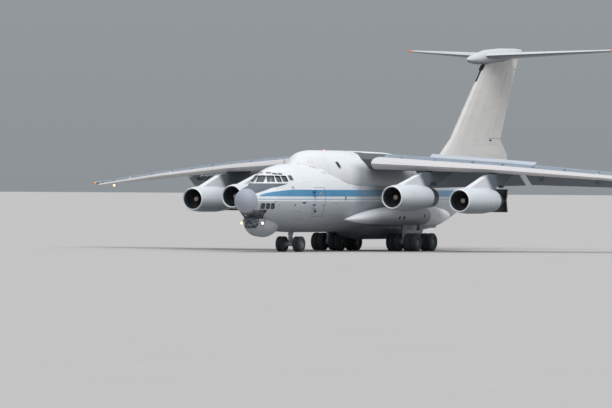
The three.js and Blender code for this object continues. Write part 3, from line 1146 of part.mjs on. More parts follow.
function gearParts() {
  const keel = loft(KEEL_SECTIONS.map(([x, across, up]) => bodyRing([x, KEEL_Z + up, KEEL_Z - up, across], 0, 16)));
  addMesh("belly_fairing", keel.subtract(BODY_GROWN), MATERIALS.grey);
  const podRing = ([x, across, up, y, z]) =>
    bodyRing([x, z + up, z - up, across], 0, 16).map(([px, py, pz]) => [px, py + y, pz]);
  const pod = loft(POD_SECTIONS.map(podRing)).subtract(BODY_GROWN);
  const hub = MAIN_WHEEL.radius;
  const places = [-MAIN_LEG_SPACING / 2, MAIN_LEG_SPACING / 2];
  const { radius: strutRadius, top: strutTop, beam } = MAIN_LEG;
  const strutsAndBeam = (grow) => {
    const struts = places.map((x) => rod([x, 0, 0], [x, 0, strutTop + grow - hub], strutRadius + grow, 16));
    return joinAll(struts).add(box(places, [-beam.half - grow, beam.half + grow], [beam.low - grow - hub, beam.high + grow - hub]));
  };
  const housing = pod.subtract(strutsAndBeam(FIT_GAP).translate([MAIN_GEAR_X, MAIN_LEG_Y, hub]));
  const sleeves = places.map((x) => rod([x, -MAIN_LEG.hubHalf, 0], [x, MAIN_LEG.hubHalf, 0], MAIN_LEG.hub, 16));
  const axleHoles = places.map((x) => wheelBore(x, MAIN_LEG.axle));
  const legs = strutsAndBeam(0).add(joinAll(sleeves)).subtract(joinAll(axleHoles));
  const mainWheels = wheelSet([-0.94, -0.45, 0.45, 0.94], MAIN_WHEEL, MAIN_LEG.axle);
  for (const { side, s } of SIDES) {
    addMesh(`gear_fairing_${side}`, onSide(largestBody(housing), s), MATERIALS.white);
    addMesh(`main_legs_${side}`, legs, MATERIALS.steel, "root", [MAIN_GEAR_X, MAIN_LEG_Y * s, hub]);
    for (const [k, end] of ["front", "rear"].entries()) {
      const wheels = `main_wheels_${side}_${end}`;
      const at = [MAIN_GEAR_X + places[k], MAIN_LEG_Y * s, hub];
      addMesh(wheels, mainWheels, MATERIALS.tyre, wheels, at);
      addJoint({ name: `${wheels}_spin`, child: wheels, from: at, to: [at[0], at[1] + 1, at[2]], continuous: true });
    }
  }

  const noseAt = [NOSE_GEAR_X, 0, NOSE_WHEEL.radius];
  const local = (z) => z - NOSE_WHEEL.radius;
  const { radius, pin, pinTop, hub: noseHub, hubHalf, axle } = NOSE_STRUT;
  const fixed = rod([0, 0, local(NOSE_LEG.joint)], [0, 0, local(NOSE_LEG.top) - FIT_GAP], NOSE_LEG.radius, 16);
  const swivel = bore([0, 0, local(NOSE_LEG.joint) - 0.1], [0, 0, local(pinTop) + 0.02], pin);
  addMesh("nose_leg", fixed.subtract(swivel), MATERIALS.steel, "root", noseAt);
  const steering = rod([0, 0, 0], [0, 0, local(NOSE_LEG.joint) - 2 * FIT_GAP], radius, 16)
    .add(rod([0, 0, 0], [0, 0, local(pinTop)], pin))
    .add(rod([0, -hubHalf, 0], [0, hubHalf, 0], noseHub, 16))
    .subtract(wheelBore(0, axle));
  addMesh("nose_steering", steering, MATERIALS.steel, "nose_steering", noseAt);
  addJoint({
    name: "nose_steering_swivel",
    child: "nose_steering",
    from: [NOSE_GEAR_X, 0, 1],
    to: [NOSE_GEAR_X, 0, 2],
    range: [-50, 50],
  });
  const noseWheels = wheelSet([-0.81, -0.508, 0.508, 0.81], NOSE_WHEEL, axle);
  addMesh("nose_wheels", noseWheels, MATERIALS.tyre, "nose_wheels", noseAt);
  addJoint({
    name: "nose_wheels_spin",
    child: "nose_wheels",
    parent: "nose_steering",
    from: noseAt,
    to: [noseAt[0], 1, noseAt[2]],
    continuous: true,
  });
}

noseParts();
const wing = wingParts();
centreParts(wing);
engineParts(wing);
tailParts();
tailSectionParts();
gearParts();

export default aeroplane;
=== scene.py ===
"""Dresses the half-size transport aeroplane: finer surfaces, small pieces, materials, light and camera.

Shapes are written in metres of the real aeroplane, as in the part's source: X is the station behind
the nose tip, Y is to the pilot's right and Z is the height over the ground. TO_MODEL halves them.
"""
import json
import math

import bmesh
import bpy
from mathutils import Matrix, Vector

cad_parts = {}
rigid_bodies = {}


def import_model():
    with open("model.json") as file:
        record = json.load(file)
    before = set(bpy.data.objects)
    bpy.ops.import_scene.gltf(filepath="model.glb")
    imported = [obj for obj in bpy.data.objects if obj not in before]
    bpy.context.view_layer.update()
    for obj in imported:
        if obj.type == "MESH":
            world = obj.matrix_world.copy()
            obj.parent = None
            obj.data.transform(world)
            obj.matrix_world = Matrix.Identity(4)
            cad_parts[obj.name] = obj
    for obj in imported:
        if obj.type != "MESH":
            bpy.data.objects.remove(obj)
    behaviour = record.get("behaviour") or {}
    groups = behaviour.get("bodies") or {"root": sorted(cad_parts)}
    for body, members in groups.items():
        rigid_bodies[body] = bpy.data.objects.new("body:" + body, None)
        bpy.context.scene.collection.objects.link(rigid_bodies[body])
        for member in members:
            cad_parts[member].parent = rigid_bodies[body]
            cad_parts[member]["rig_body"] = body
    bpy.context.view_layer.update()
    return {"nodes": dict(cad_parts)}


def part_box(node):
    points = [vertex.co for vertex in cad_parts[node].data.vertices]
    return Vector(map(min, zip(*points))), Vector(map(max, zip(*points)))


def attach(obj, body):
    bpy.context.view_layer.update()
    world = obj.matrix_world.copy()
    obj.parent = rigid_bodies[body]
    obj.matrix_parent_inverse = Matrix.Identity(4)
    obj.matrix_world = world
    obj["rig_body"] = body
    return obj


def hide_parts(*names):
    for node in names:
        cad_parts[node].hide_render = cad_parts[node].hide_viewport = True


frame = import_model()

LENGTH = 46.59
TO_MODEL = Matrix.Translation((-LENGTH / 4, 0, 0)) @ Matrix.Scale(0.5, 4)
TO_REAL = TO_MODEL.inverted()
MIRROR = Matrix.Diagonal((1, -1, 1, 1))
SIDES = (("left", -1), ("right", 1))

# The place that the photograph was taken from, solved from known points of the aeroplane, in degrees,
# metres and pixels.
VIEW = {
    "yaw": 26.49, "pitch": -0.1566, "roll": 0.309,
    "distance": 504.0, "height": 4.728, "aside": -4.401, "focal_pixels": 6980.8,
}
LOOKED_AT = Vector((20, 0, 3))
IMAGE_WIDTH = 612
SENSOR = 36


def make_camera():
    yaw, pitch, roll = (math.radians(VIEW[k]) for k in ("yaw", "pitch", "roll"))
    along = Vector((math.cos(yaw), math.sin(yaw), 0))
    target = LOOKED_AT + VIEW["aside"] * Vector((math.sin(yaw), -math.cos(yaw), 0))
    eye = target - along * VIEW["distance"]
    eye.z = VIEW["height"]
    forward = Vector((along.x * math.cos(pitch), along.y * math.cos(pitch), math.sin(pitch)))
    right = forward.cross(Vector((0, 0, 1))).normalized()
    up = right.cross(forward)
    side = right * math.cos(roll) + up * math.sin(roll)
    top = up * math.cos(roll) - right * math.sin(roll)
    data = bpy.data.cameras.new("camera")
    data.sensor_width = SENSOR
    data.lens = VIEW["focal_pixels"] / IMAGE_WIDTH * SENSOR
    data.clip_start, data.clip_end = 1, 20000
    camera = bpy.data.objects.new("camera", data)
    bpy.context.scene.collection.objects.link(camera)
    turn = Matrix((side, top, -forward)).transposed().to_4x4()
    camera.matrix_world = Matrix.Translation(TO_MODEL @ eye) @ turn
    bpy.context.scene.camera = camera


# Materials
class Look:
    """A material made of nodes. Its places are in metres of the real aeroplane."""

    def __init__(self, name, slot, roughness=0.5, metallic=0.0, coat=0.0):
        self.slot = slot
        self.material = bpy.data.materials.new(name)
        self.material.use_nodes = True
        self.tree = self.material.node_tree
        self.shader = self.tree.nodes["Principled BSDF"]
        for key, value in (("Metallic", metallic), ("Roughness", roughness), ("Coat Weight", coat)):
            self.shader.inputs[key].default_value = value
        local = self.node("TexCoord").outputs["Object"]
        scaled = self.node("VectorMath", {0: local, 1: (2, 2, 2)}, operation="MULTIPLY").outputs[0]
        self.at = self.node("VectorMath", {0: scaled, 1: (LENGTH / 2, 0, 0)}, operation="ADD").outputs[0]
        self.x, self.y, self.z = self.node("SeparateXYZ", {0: self.at}).outputs
        self.bumps = []

    def node(self, kind, inputs=(), **settings):
        """A node with its settings, and with inputs that are linked or set to a number or colour."""
        made = self.tree.nodes.new("ShaderNode" + kind)
        for key, value in settings.items():
            setattr(made, key, value)
        for key, value in dict(inputs).items():
            socket = made.inputs[key]
            if isinstance(value, bpy.types.NodeSocket):
                self.tree.links.new(value, socket)
            else:
                socket.default_value = (*value, 1) if socket.type == "RGBA" else value
        return made

    def math(self, operation, first, *others):
        """The first value put together with each of the others in turn."""
        result = first
        for other in others or (0.0,):
            result = self.node("Math", {0: result, 1: other}, operation=operation).outputs[0]
        return result

    def times(self, *values):
        return self.math("MULTIPLY", *values)

    def plus(self, *values):
        return self.math("ADD", *values)

    def minus(self, a, b):
        return self.math("SUBTRACT", a, b)

    def out(self):
        """The distance from the middle plane."""
        return self.math("ABSOLUTE", self.y)

    def step(self, value, start, end, low=0.0, high=1.0):
        """Low at start and high at end."""
        inputs = {0: value, 1: start, 2: end, 3: low, 4: high}
        return self.node("MapRange", inputs, clamp=True).outputs[0]

    def between(self, value, low, high, soft):
        rise = self.step(value, low - soft, low + soft)
        return self.times(rise, self.step(value, high + soft, high - soft))

    def noise(self, scale, stretch=(1, 1, 1), detail=3.0, rough=0.6):
        spread = self.node("VectorMath", {0: self.at, 1: stretch}, operation="MULTIPLY").outputs[0]
        inputs = {"Vector": spread, "Scale": scale, "Detail": detail, "Roughness": rough}
        return self.node("TexNoise", inputs).outputs[0]

    def lines(self, value, spacing, half=0.012):
        """1 on lines that lie this far apart."""
        return self.step(self.math("PINGPONG", value, spacing / 2), half * 1.6, half * 0.6)

    def mix(self, share, a, b):
        return self.node("Mix", {0: share, 6: a, 7: b}, data_type="RGBA", clamp_factor=True).outputs[2]

    def facing(self, normal):
        """The three parts of a surface's direction."""
        return self.node("SeparateXYZ", {0: self.node("NewGeometry").outputs[normal]}).outputs

    def paint(self, colour, share=None):
        """A colour for all of it, or over this share of the earlier one."""
        self.tint = colour if share is None else self.mix(share, self.tint, colour)
        self.tree.links.new(self.tint, self.shader.inputs["Base Color"])
        return self

    def roughness(self, value, low, high):
        self.tree.links.new(self.step(value, 0.3, 0.7, low, high), self.shader.inputs["Roughness"])

    def bump(self, height, depth):
        """Depth is in metres of the model."""
        before = {"Normal": self.bumps[-1]} if self.bumps else {}
        made = self.node("Bump", {"Height": height, "Distance": depth, "Strength": 0.8, **before})
        self.bumps.append(made.outputs[0])
        self.tree.links.new(made.outputs[0], self.shader.inputs["Normal"])


WHITE, CREAM, PALE_GREY = (0.74, 0.76, 0.79), (0.66, 0.64, 0.625), (0.38, 0.41, 0.45)
BLUE, FADED_BLUE, ORANGE = (0.06, 0.23, 0.42), (0.11, 0.31, 0.49), (0.75, 0.2, 0.05)
# The middle colour of the next line is the painted shadow of the wing on the body.
DIRT, WING_SHADOW, PANE = (0.3, 0.3, 0.29), (0.13, 0.16, 0.19), (0.03, 0.04, 0.05)
# The last colour of the next line is painted shade for the wing's lower side.
WING_GREY, WING_DIRT, WING_UNDERSIDE_SHADE = (0.46, 0.5, 0.56), (0.3, 0.31, 0.33), (0.13, 0.155, 0.19)
STRIPE = {"foot": 3.9, "rise": 0.49, "start": 1.1, "full": 4.6, "thin": (3.69, 3.73)}
GLARE = {"start": 0.9, "end": 4.9, "low": 4.12, "rise": 0.78, "top": 4.82}
SWEEP = 0.4594
FIN_SLOPE = 0.75


# The directions that panel seams are counted along.
def station(look):
    return look.x


def span(look):
    return look.y


def height(look):
    return look.z


def body_angle(look):
    """The way round the fuselage, in metres of skin."""
    return look.times(look.math("ARCTAN2", look.out(), look.minus(look.z, 3.8)), 2.4)


def wing_line(look):
    return look.minus(look.x, look.times(look.out(), 0.3))


def fin_line(look):
    return look.minus(look.x, look.times(look.z, FIN_SLOPE))


def painted(name, slot, base, dirt, grime, seams, streak=(0.25, 0.25, 3), under=None):
    """Paint with patches, streaks and panel seams, and painted shade of the colour `under` on what looks
    down.
    """
    look = Look(name, slot, roughness=0.45, coat=0.12)
    streaks = look.noise(1.6, streak, detail=6, rough=0.7)
    patches = look.step(look.noise(0.55, detail=5), 0.35, 0.75)
    look.paint(look.mix(look.times(patches, look.step(streaks, 0.35, 0.8), grime), base, dirt))
    # Painted shade on the surfaces that face down.
    if under:
        look.paint(under, look.step(look.facing("Normal")[2], 0.1, -0.7))
    seam = look.math("MAXIMUM", *(look.lines(value(look), spacing) for value, spacing in seams))
    look.paint(tuple(c * 0.6 for c in dirt), look.times(seam, 0.2))
    look.bump(look.minus(1.0, seam), 0.0015)
    look.roughness(streaks, 0.38, 0.6)
    look.bump(look.noise(26, detail=2), 0.0006)
    return look


def paint_wing_shadow(look):
    """Painted shadow of the wing, grey on the body's side under it."""
    along = look.times(look.step(look.x, 12.9, 14.3), look.step(look.x, 33.0, 29.0))
    return look.paint(WING_SHADOW, look.times(along, look.step(look.z, 6.4, 5.9), look.step(look.z, 2.2, 3.4), 0.6))


def glaze(look, bar):
    """The navigator's glazing and its bars, between the radomes."""
    edge = look.plus(1.5, look.times(look.minus(look.z, 1.7), 0.345))
    inside = look.times(look.math("LESS_THAN", look.x, edge), look.between(look.z, 1.68, 2.97, 0.01))
    across = look.plus(look.times(look.x, 0.44), look.times(look.out(), 0.9))
    slanted = look.lines(look.plus(look.z, look.times(across, 1.2)), 0.52, 0.022)
    level = look.lines(look.minus(look.z, look.times(across, 0.35)), 0.42, 0.018)
    return look.paint(look.mix(look.math("MAXIMUM", slanted, level), PANE, bar), inside)


def fuselage_look():
    """White over grey, with the blue stripe, a thin line below it and a dark panel ahead of the windows;
    painted shade darkens it towards the belly and, as the wing's shadow, on the side under the wing.
    """
    seams = [(station, 1.55), (body_angle, 1.26)]
    look = painted("fuselage_paint", "airframe_white", WHITE, DIRT, 0.28, seams)
    x, z = look.x, look.z
    look.paint(PALE_GREY, look.times(look.step(z, 3.6, 3.56), look.step(x, 28.2, 26.8), 0.85))
    # Painted shade, darker towards the belly.
    look.paint((0.15, 0.175, 0.2), look.times(look.step(z, 3.5, 1.7), 0.85))
    taper = look.math("SQRT", look.step(x, STRIPE["start"], STRIPE["full"]))
    below = look.math("LESS_THAN", z, look.plus(STRIPE["foot"], look.times(taper, STRIPE["rise"])))
    band = look.times(look.step(z, STRIPE["foot"], STRIPE["foot"] + 0.03), below)
    thin = look.times(look.between(z, *STRIPE["thin"], 0.012), look.step(x, 0.86, 1.0))
    stripe = look.times(look.math("MAXIMUM", band, thin), look.step(x, 40.5, 39.5))
    faded = look.step(look.noise(1.1, (0.4, 1, 1), detail=4), 0.3, 0.75)
    look.paint(look.mix(faded, BLUE, FADED_BLUE), stripe)
    edge = look.plus(GLARE["low"], look.times(look.step(x, GLARE["start"], GLARE["end"]), GLARE["rise"]))
    above = look.times(look.math("GREATER_THAN", z, edge), look.math("LESS_THAN", z, GLARE["top"]))
    look.paint((0.09, 0.11, 0.14), look.times(above, look.step(x, GLARE["end"] + 0.05, GLARE["end"] - 0.05)))
    return glaze(paint_wing_shadow(look), (0.28, 0.3, 0.32))


def wing_look(name, slot, base, dirt, under=None, grime=0.4):
    return painted(name, slot, base, dirt, grime, [(span, 1.35), (wing_line, 1.1)], (0.3, 3, 1), under)


def bare_front_and_root_shade_look():
    """The wing's paint, darker on the front that the slat uncovers, and darkest there beside the body as
    painted shade.
    """
    look = wing_look("wing_paint", "airframe_grey", WING_GREY, WING_DIRT, WING_UNDERSIDE_SHADE)
    front = look.step(look.facing("True Normal")[0], -0.26, -0.3)
    look.paint((0.2, 0.25, 0.31), front)
    # Painted shade on that front beside the body.
    return look.paint((0.06, 0.075, 0.085), look.times(look.math("LESS_THAN", look.out(), 3.0), front))


def tailplane_look():
    # Its last colour is painted shade on what looks down.
    look = wing_look("tailplane_paint", "airframe_grey", (0.6, 0.62, 0.64), DIRT, (0.13, 0.15, 0.18))
    return look.paint(ORANGE, look.step(look.out(), 8.18, 8.22))


def fin_look():
    seams = [(height, 1.95), (fin_line, 1.15)]
    look = painted("fin_paint", "airframe_white", CREAM, (0.4, 0.4, 0.39), 0.3, seams, (0.4, 1, 2.5))
    spot = look.node("CombineXYZ", {0: fin_line(look), 1: look.z}).outputs[0]
    inputs = {"Vector": spot, "Scale": 0.42, "Mortar Size": 0.0, "Color1": (0, 0, 0), "Color2": (1, 1, 1)}
    panels = look.node("TexBrick", inputs, squash_frequency=1).outputs[0]
    tone = look.node("SeparateColor", {0: panels}).outputs[0]
    return look.paint((0.42, 0.42, 0.42), look.times(tone, 0.16))


def pod_look():
    look = painted("pod_paint", "airframe_white", WHITE, DIRT, 0.35, [(station, 1.3)])
    # Painted shade over the pod's middle under the wing, darker towards the bottom.
    along = look.times(look.step(look.x, 13.2, 15.5), look.step(look.x, 22.95, 22.75))
    low = look.plus(0.6, look.times(look.step(look.z, 2.8, 2.2), 0.4))
    return look.paint((0.22, 0.245, 0.275), look.times(along, low))


def pylon_look():
    look = painted("pylon_paint", "airframe_white", WHITE, DIRT, 0.35, [(station, 0.9)])
    # Painted shade on the rear of the pylon, under the wing.
    aft = look.minus(look.x, look.times(look.out(), SWEEP))
    return look.paint((0.11, 0.135, 0.16), look.step(look.plus(aft, look.minus(look.z, 5.6)), 11.6, 12.3))


def plain(name, slot, base, dark, scale, roughness, metallic=0.0, bump=0.0008, coat=0.0):
    """One material, speckled between two colours."""
    look = Look(name, slot, metallic=metallic, coat=coat)
    look.paint(look.mix(look.step(look.noise(scale, detail=6), 0.3, 0.75), base, dark))
    look.roughness(look.noise(scale * 2.3), *roughness)
    if bump:
        look.bump(look.noise(scale * 6), bump)
    return look


def radome_look(name):
    return plain(name, "radome", (0.36, 0.39, 0.46), (0.3, 0.33, 0.4), 1.2, (0.4, 0.55), bump=0.0004)


def chin_look():
    look = radome_look("chin_paint")
    look.paint(look.mix(look.noise(1.5), (0.33, 0.35, 0.39), (0.27, 0.29, 0.33)))
    return glaze(look, (0.2, 0.22, 0.24))


def lamp_look(name, colour, strength):
    look = Look(name, "glazing", roughness=0.2)
    look.shader.inputs["Emission Color"].default_value = (*colour, 1)
    look.shader.inputs["Emission Strength"].default_value = strength
    return look.paint(look.mix(look.noise(9), colour, tuple(c * 0.8 for c in colour)))


FUSELAGE, WING, FIN, TAILPLANE = fuselage_look(), bare_front_and_root_shade_look(), fin_look(), tailplane_look()
POD_PAINT, PYLON = pod_look(), pylon_look()
WHITE_PAINT = painted("white_paint", "airframe_white", WHITE, DIRT, 0.3, [(station, 1.3)])
# The fairing's paint, with the painted shadow of the wing on its sides.
HUMP_PAINT = paint_wing_shadow(painted("fairing_paint", "airframe_white", WHITE, DIRT, 0.3, [(station, 1.3)]))
# The belly fairing's grey, darkened nearly to black as painted shade.
BELLY_GREY_AND_SHADE = painted(
    "belly_grey_and_shade", "airframe_grey", (0.12, 0.14, 0.165), (0.2, 0.21, 0.22), 0.45, [(station, 1.3)],
)
# Nacelle paint with painted shade of its last colour on what looks down.
NACELLE = painted(
    "nacelle_paint", "nacelle_paint", (0.64, 0.68, 0.72), DIRT, 0.4, [(station, 0.92)],
    under=(0.22, 0.25, 0.28),
)
# Spoilers and flaps carry painted shade of their last colour on what looks down.
SPOILER = wing_look("spoiler_paint", "airframe_grey", WING_GREY, WING_DIRT, WING_UNDERSIDE_SHADE)
# The flaps' darker grey is painted shade as well.
FLAP = wing_look("flap_paint", "airframe_grey", (0.34, 0.37, 0.41), (0.16, 0.17, 0.18), (0.15, 0.18, 0.21))
SLAT = wing_look("slat_paint", "slat_paint", (0.6, 0.58, 0.59), (0.4, 0.38, 0.36), grime=0.3)
RADOME, CHIN_PAINT = radome_look("radome_paint"), chin_look()
GLASS = plain(
    "dark_glass", "glazing", (0.025, 0.035, 0.045), (0.05, 0.06, 0.07), 0.8, (0.05, 0.12), bump=0, coat=0.6,
)
GLASS.shader.inputs["IOR"].default_value = 1.5
# Dark metal of the tracks, used also as painted shade in the slat slots.
TRACK_METAL_AND_SLOT_SHADE = plain("track_metal", "airframe_grey", (0.07, 0.085, 0.1), (0.12, 0.13, 0.14), 4, (0.4, 0.6), 0.3)
LIP = plain("bare_lip", "bare_steel", (0.78, 0.8, 0.82), (0.68, 0.7, 0.72), 5, (0.3, 0.45), 0.1)
STEEL = plain("gear_steel", "bare_steel", (0.3, 0.32, 0.34), (0.16, 0.17, 0.18), 6, (0.35, 0.55), 0.5)
CHROME = plain("piston_steel", "bare_steel", (0.7, 0.71, 0.72), (0.55, 0.56, 0.58), 9, (0.12, 0.2), 1.0)
HOT = plain("hot_metal", "hot_metal", (0.045, 0.055, 0.065), (0.1, 0.095, 0.09), 4, (0.35, 0.6), 0.6)
LINING = plain("bucket_lining", "hot_metal", (0.4, 0.38, 0.36), (0.24, 0.23, 0.22), 4, (0.45, 0.65), 0.2)
BLADES = plain("blade_metal", "bare_steel", (0.16, 0.18, 0.2), (0.1, 0.11, 0.12), 6, (0.3, 0.45), 0.7)
RIM = plain("rim_paint", "bare_steel", (0.22, 0.27, 0.27), (0.1, 0.12, 0.12), 8, (0.45, 0.6), 0.3)
GEAR_PAINT = plain("gear_paint", "bare_steel", (0.42, 0.44, 0.47), (0.25, 0.26, 0.28), 6, (0.4, 0.55), 0.1)
PLATE = plain("plate_paint", "bare_steel", (0.5, 0.46, 0.42), (0.36, 0.33, 0.3), 4, (0.45, 0.6))
SPINNER = plain("spinner_paint", "nacelle_paint", (0.5, 0.41, 0.35), (0.4, 0.33, 0.29), 8, (0.4, 0.5))
# The intake duct's inner wall, painted dark as shade.
DUCT_SHADE = plain("duct_shade", "nacelle_paint", (0.05, 0.062, 0.07), (0.03, 0.038, 0.045), 5, (0.45, 0.6))
# Painted shade for openings, recesses and gaps.
RECESS_SHADE = plain("painted_recess_shade", "interior", (0.012, 0.014, 0.016), (0.025, 0.027, 0.03), 4, (0.7, 0.85))
INSIDE = plain("cabin_paint", "interior", (0.2, 0.24, 0.22), (0.12, 0.15, 0.14), 3, (0.6, 0.8))
FRAME_GREY = plain("frame_paint", "airframe_white", (0.55, 0.57, 0.6), (0.4, 0.42, 0.44), 7, (0.45, 0.6))
SEAM = plain("seam_shadow", "airframe_grey", (0.2, 0.21, 0.23), (0.15, 0.16, 0.17), 7, (0.5, 0.65))
SEAL = plain("window_seal", "tyre", (0.035, 0.042, 0.05), (0.06, 0.066, 0.072), 7, (0.4, 0.6))
TYRE = plain("rubber", "tyre", (0.03, 0.036, 0.042), (0.055, 0.06, 0.064), 2.5, (0.7, 0.85), bump=0.002)
LAMP = lamp_look("lamp_lit", (1.0, 0.8, 0.5), 1.6)
RED_GLASS = lamp_look("beacon_glass", (0.9, 0.25, 0.06), 0.6)
SHELL = [FUSELAGE, INSIDE]


# Shapes
class Shape:
    """Points and faces of one piece, in metres of the real aeroplane, each face with its look's number."""

    def __init__(self):
        self.points, self.faces, self.looks = [], [], []

    def add(self, points, faces, looks):
        start = len(self.points)
        self.points += [tuple(p) for p in points]
        self.faces += [tuple(i + start for i in face) for face in faces]
        self.looks += looks
        return self

    def loft(self, rings, look=0, caps=True):
        n, last = len(rings[0]), len(rings) - 1
        faces = [
            (i * n + j, i * n + (j + 1) % n, (i + 1) * n + (j + 1) % n, (i + 1) * n + j)
            for i in range(last)
            for j in range(n)
        ]
        if caps:
            faces += [tuple(reversed(range(n))), tuple(range(last * n, last * n + n))]
        return self.add([p for ring in rings for p in ring], faces, [look] * len(faces))

    def turn(self, outline, at, axis, sides, look=0, caps=True):
        """An outline of [distance along the axis, radius] turned about it."""
        axis = Vector(axis).normalized()
        side = axis.orthogonal().normalized()
        up = axis.cross(side)
        rings = [
            [
                Vector(at) + axis * d + (side * math.cos(a) + up * math.sin(a)) * max(r, 1e-4)
                for a in (2 * math.pi * j / sides for j in range(sides))
            ]
            for d, r in outline
        ]
        return self.loft(rings, look, caps)

    def rod(self, a, b, radius, sides, look=0, end=None):
        """A round bar from a to b, which may taper to another radius at its end."""
        span = Vector(b) - Vector(a)
        return self.turn([(0, radius), (span.length, end or radius)], a, span, sides, look)

    def block(self, low, high, look):
        stations, sides, heights = zip(low, high)
        corners = [(x, y, z) for x in stations for y in sides for z in heights]
        faces = [(0, 1, 3, 2), (4, 6, 7, 5), (0, 4, 5, 1), (2, 3, 7, 6), (0, 2, 6, 4), (1, 5, 7, 3)]
        return self.add(corners, faces, [look] * len(faces))

    def join(self, other, matrix=Matrix()):
        """The other shape too, moved or mirrored."""
        order = -1 if matrix.determinant() < 0 else 1
        faces = [face[::order] for face in other.faces]
        return self.add([matrix @ Vector(p) for p in other.points], faces, other.looks)

    def both(self):
        """The same on both sides of the aeroplane."""
        return Shape().join(self).join(self, MIRROR)

    def on_side(self, s):
        return self if s > 0 else Shape().join(self, MIRROR)


def finish_mesh(name, bm, looks, body, replaced, crease=38):
    bmesh.ops.remove_doubles(bm, verts=bm.verts, dist=2e-5)
    bmesh.ops.dissolve_degenerate(bm, edges=bm.edges, dist=1e-5)
    bmesh.ops.recalc_face_normals(bm, faces=bm.faces)
    for face in bm.faces:
        face.smooth = True
    for edge in bm.edges:
        edge.smooth = len(edge.link_faces) == 2 and edge.calc_face_angle() < math.radians(crease)
    mesh = bpy.data.meshes.new(name)
    bm.to_mesh(mesh)
    bm.free()
    for look in looks:
        mesh.materials.append(look.material)
    piece = bpy.data.objects.new(name, mesh)
    bpy.context.scene.collection.objects.link(piece)
    piece.modifiers.new("normals", "WEIGHTED_NORMAL").keep_sharp = True
    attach(piece, body)
    if replaced:
        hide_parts(*replaced)


def make_piece(name, shape, looks, body="airframe", replaced=(), crease=38):
    bm = bmesh.new()
    points = [bm.verts.new(TO_MODEL @ Vector(p)) for p in shape.points]
    for face, look in zip(shape.faces, shape.looks):
        bm.faces.new([points[i] for i in face]).material_index = look
    finish_mesh(name, bm, looks, body, replaced, crease)


def node_mesh(node, limit=None):
    """The solid's faces in metres of the real aeroplane, with edges split that are longer than the limit."""
    bm = bmesh.new()
    bm.from_mesh(frame["nodes"][node].data)
    for layer in list(bm.loops.layers.float_vector):
        bm.loops.layers.float_vector.remove(layer)
    bm.transform(TO_REAL)
    bmesh.ops.remove_doubles(bm, verts=bm.verts, dist=2e-5)
    for _ in range(9 if limit else 0):
        long = [edge for edge in bm.edges if edge.calc_length() > limit]
        if not long:
            break
        bmesh.ops.subdivide_edges(bm, edges=long, cuts=1)
        bmesh.ops.triangulate(bm, faces=[face for face in bm.faces if len(face.verts) > 3])
    return bm


def stand_in(node, name, bm, looks, pick=None):
    """Makes the piece that replaces a solid. pick gives the number of a face's look."""
    if pick:
        bm.normal_update()
        for face in bm.faces:
            face.material_index = pick(face)
    bm.transform(TO_MODEL)
    finish_mesh(name, bm, looks, frame["nodes"][node]["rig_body"], [node])


def row_before(rows, x):
    """The number of the table's row before x, and the share of the way from it to the next."""
    x = min(max(x, rows[0][0]), rows[-1][0])
    i = max(k for k in range(len(rows) - 1) if rows[k][0] <= x)
    return i, (x - rows[i][0]) / (rows[i + 1][0] - rows[i][0])


def straight(rows, x):
    """The table's values at x, on straight lines between its rows."""
    i, t = row_before(rows, x)
    return [a + (b - a) * t for a, b in zip(rows[i][1:], rows[i + 1][1:])]


def spline(rows, x):
    """The same on a smooth curve without overshoot."""
    i, t = row_before(rows, x)
    a, b = rows[i], rows[i + 1]
    before, after = rows[max(i - 1, 0)], rows[min(i + 2, len(rows) - 1)]
    h = b[0] - a[0]
    result = []
    for k in range(1, len(a)):
        slope = (b[k] - a[k]) / h
        ends = []
        for p, q in ((before, a), (b, after)):
            other = (q[k] - p[k]) / (q[0] - p[0]) if q[0] > p[0] else slope
            ends.append(0 if slope * other <= 0 else 2 * slope * other / (slope + other))
        result.append(
            a[k] * (1 + 2 * t) * (1 - t) ** 2 + b[k] * t * t * (3 - 2 * t)
            + h * (ends[0] * t * (1 - t) ** 2 - ends[1] * t * t * (1 - t))
        )
    return result


# The wing. Columns: distance from the middle, chord, height at 30% chord, thickness, nose-up slope.
WING_STATIONS = (
    (0, 9.97, 6.42, 0.13, 0.045), (2.4, 9.09, 6.4, 0.13, 0.045), (10.5, 6.1, 6.06, 0.12, 0.035),
    (18, 4.42, 5.5, 0.11, 0.03), (25.25, 2.8, 4.77, 0.1, 0.02),
)
WING_PLAN = {"apex": 13.9, "spar": 0.7, "nose_top": 0.19, "nose_slope": math.radians(25), "tip": 25.25}
SLAT_SLOTS = (4.2, 6.4, 8.9, 10.9, 12.9, 15.0, 17.2, 19.3, 21.5, 23.4)


def half_depth(u, t):
    return 5 * t * (0.2969 * math.sqrt(u) - 0.126 * u - 0.3516 * u**2 + 0.2843 * u**3 - 0.1036 * u**4)


def wing_point(y, u, w=0.0, lift=0.0):
    """A point at the share u of the chord, w chords over the chord line, raised by the lift."""
    chord, middle, _, slope = straight(WING_STATIONS, abs(y))
    x = WING_PLAN["apex"] + SWEEP * abs(y) + u * chord
    return Vector((x, y, middle + (w + (0.3 - u) * slope) * chord + lift))


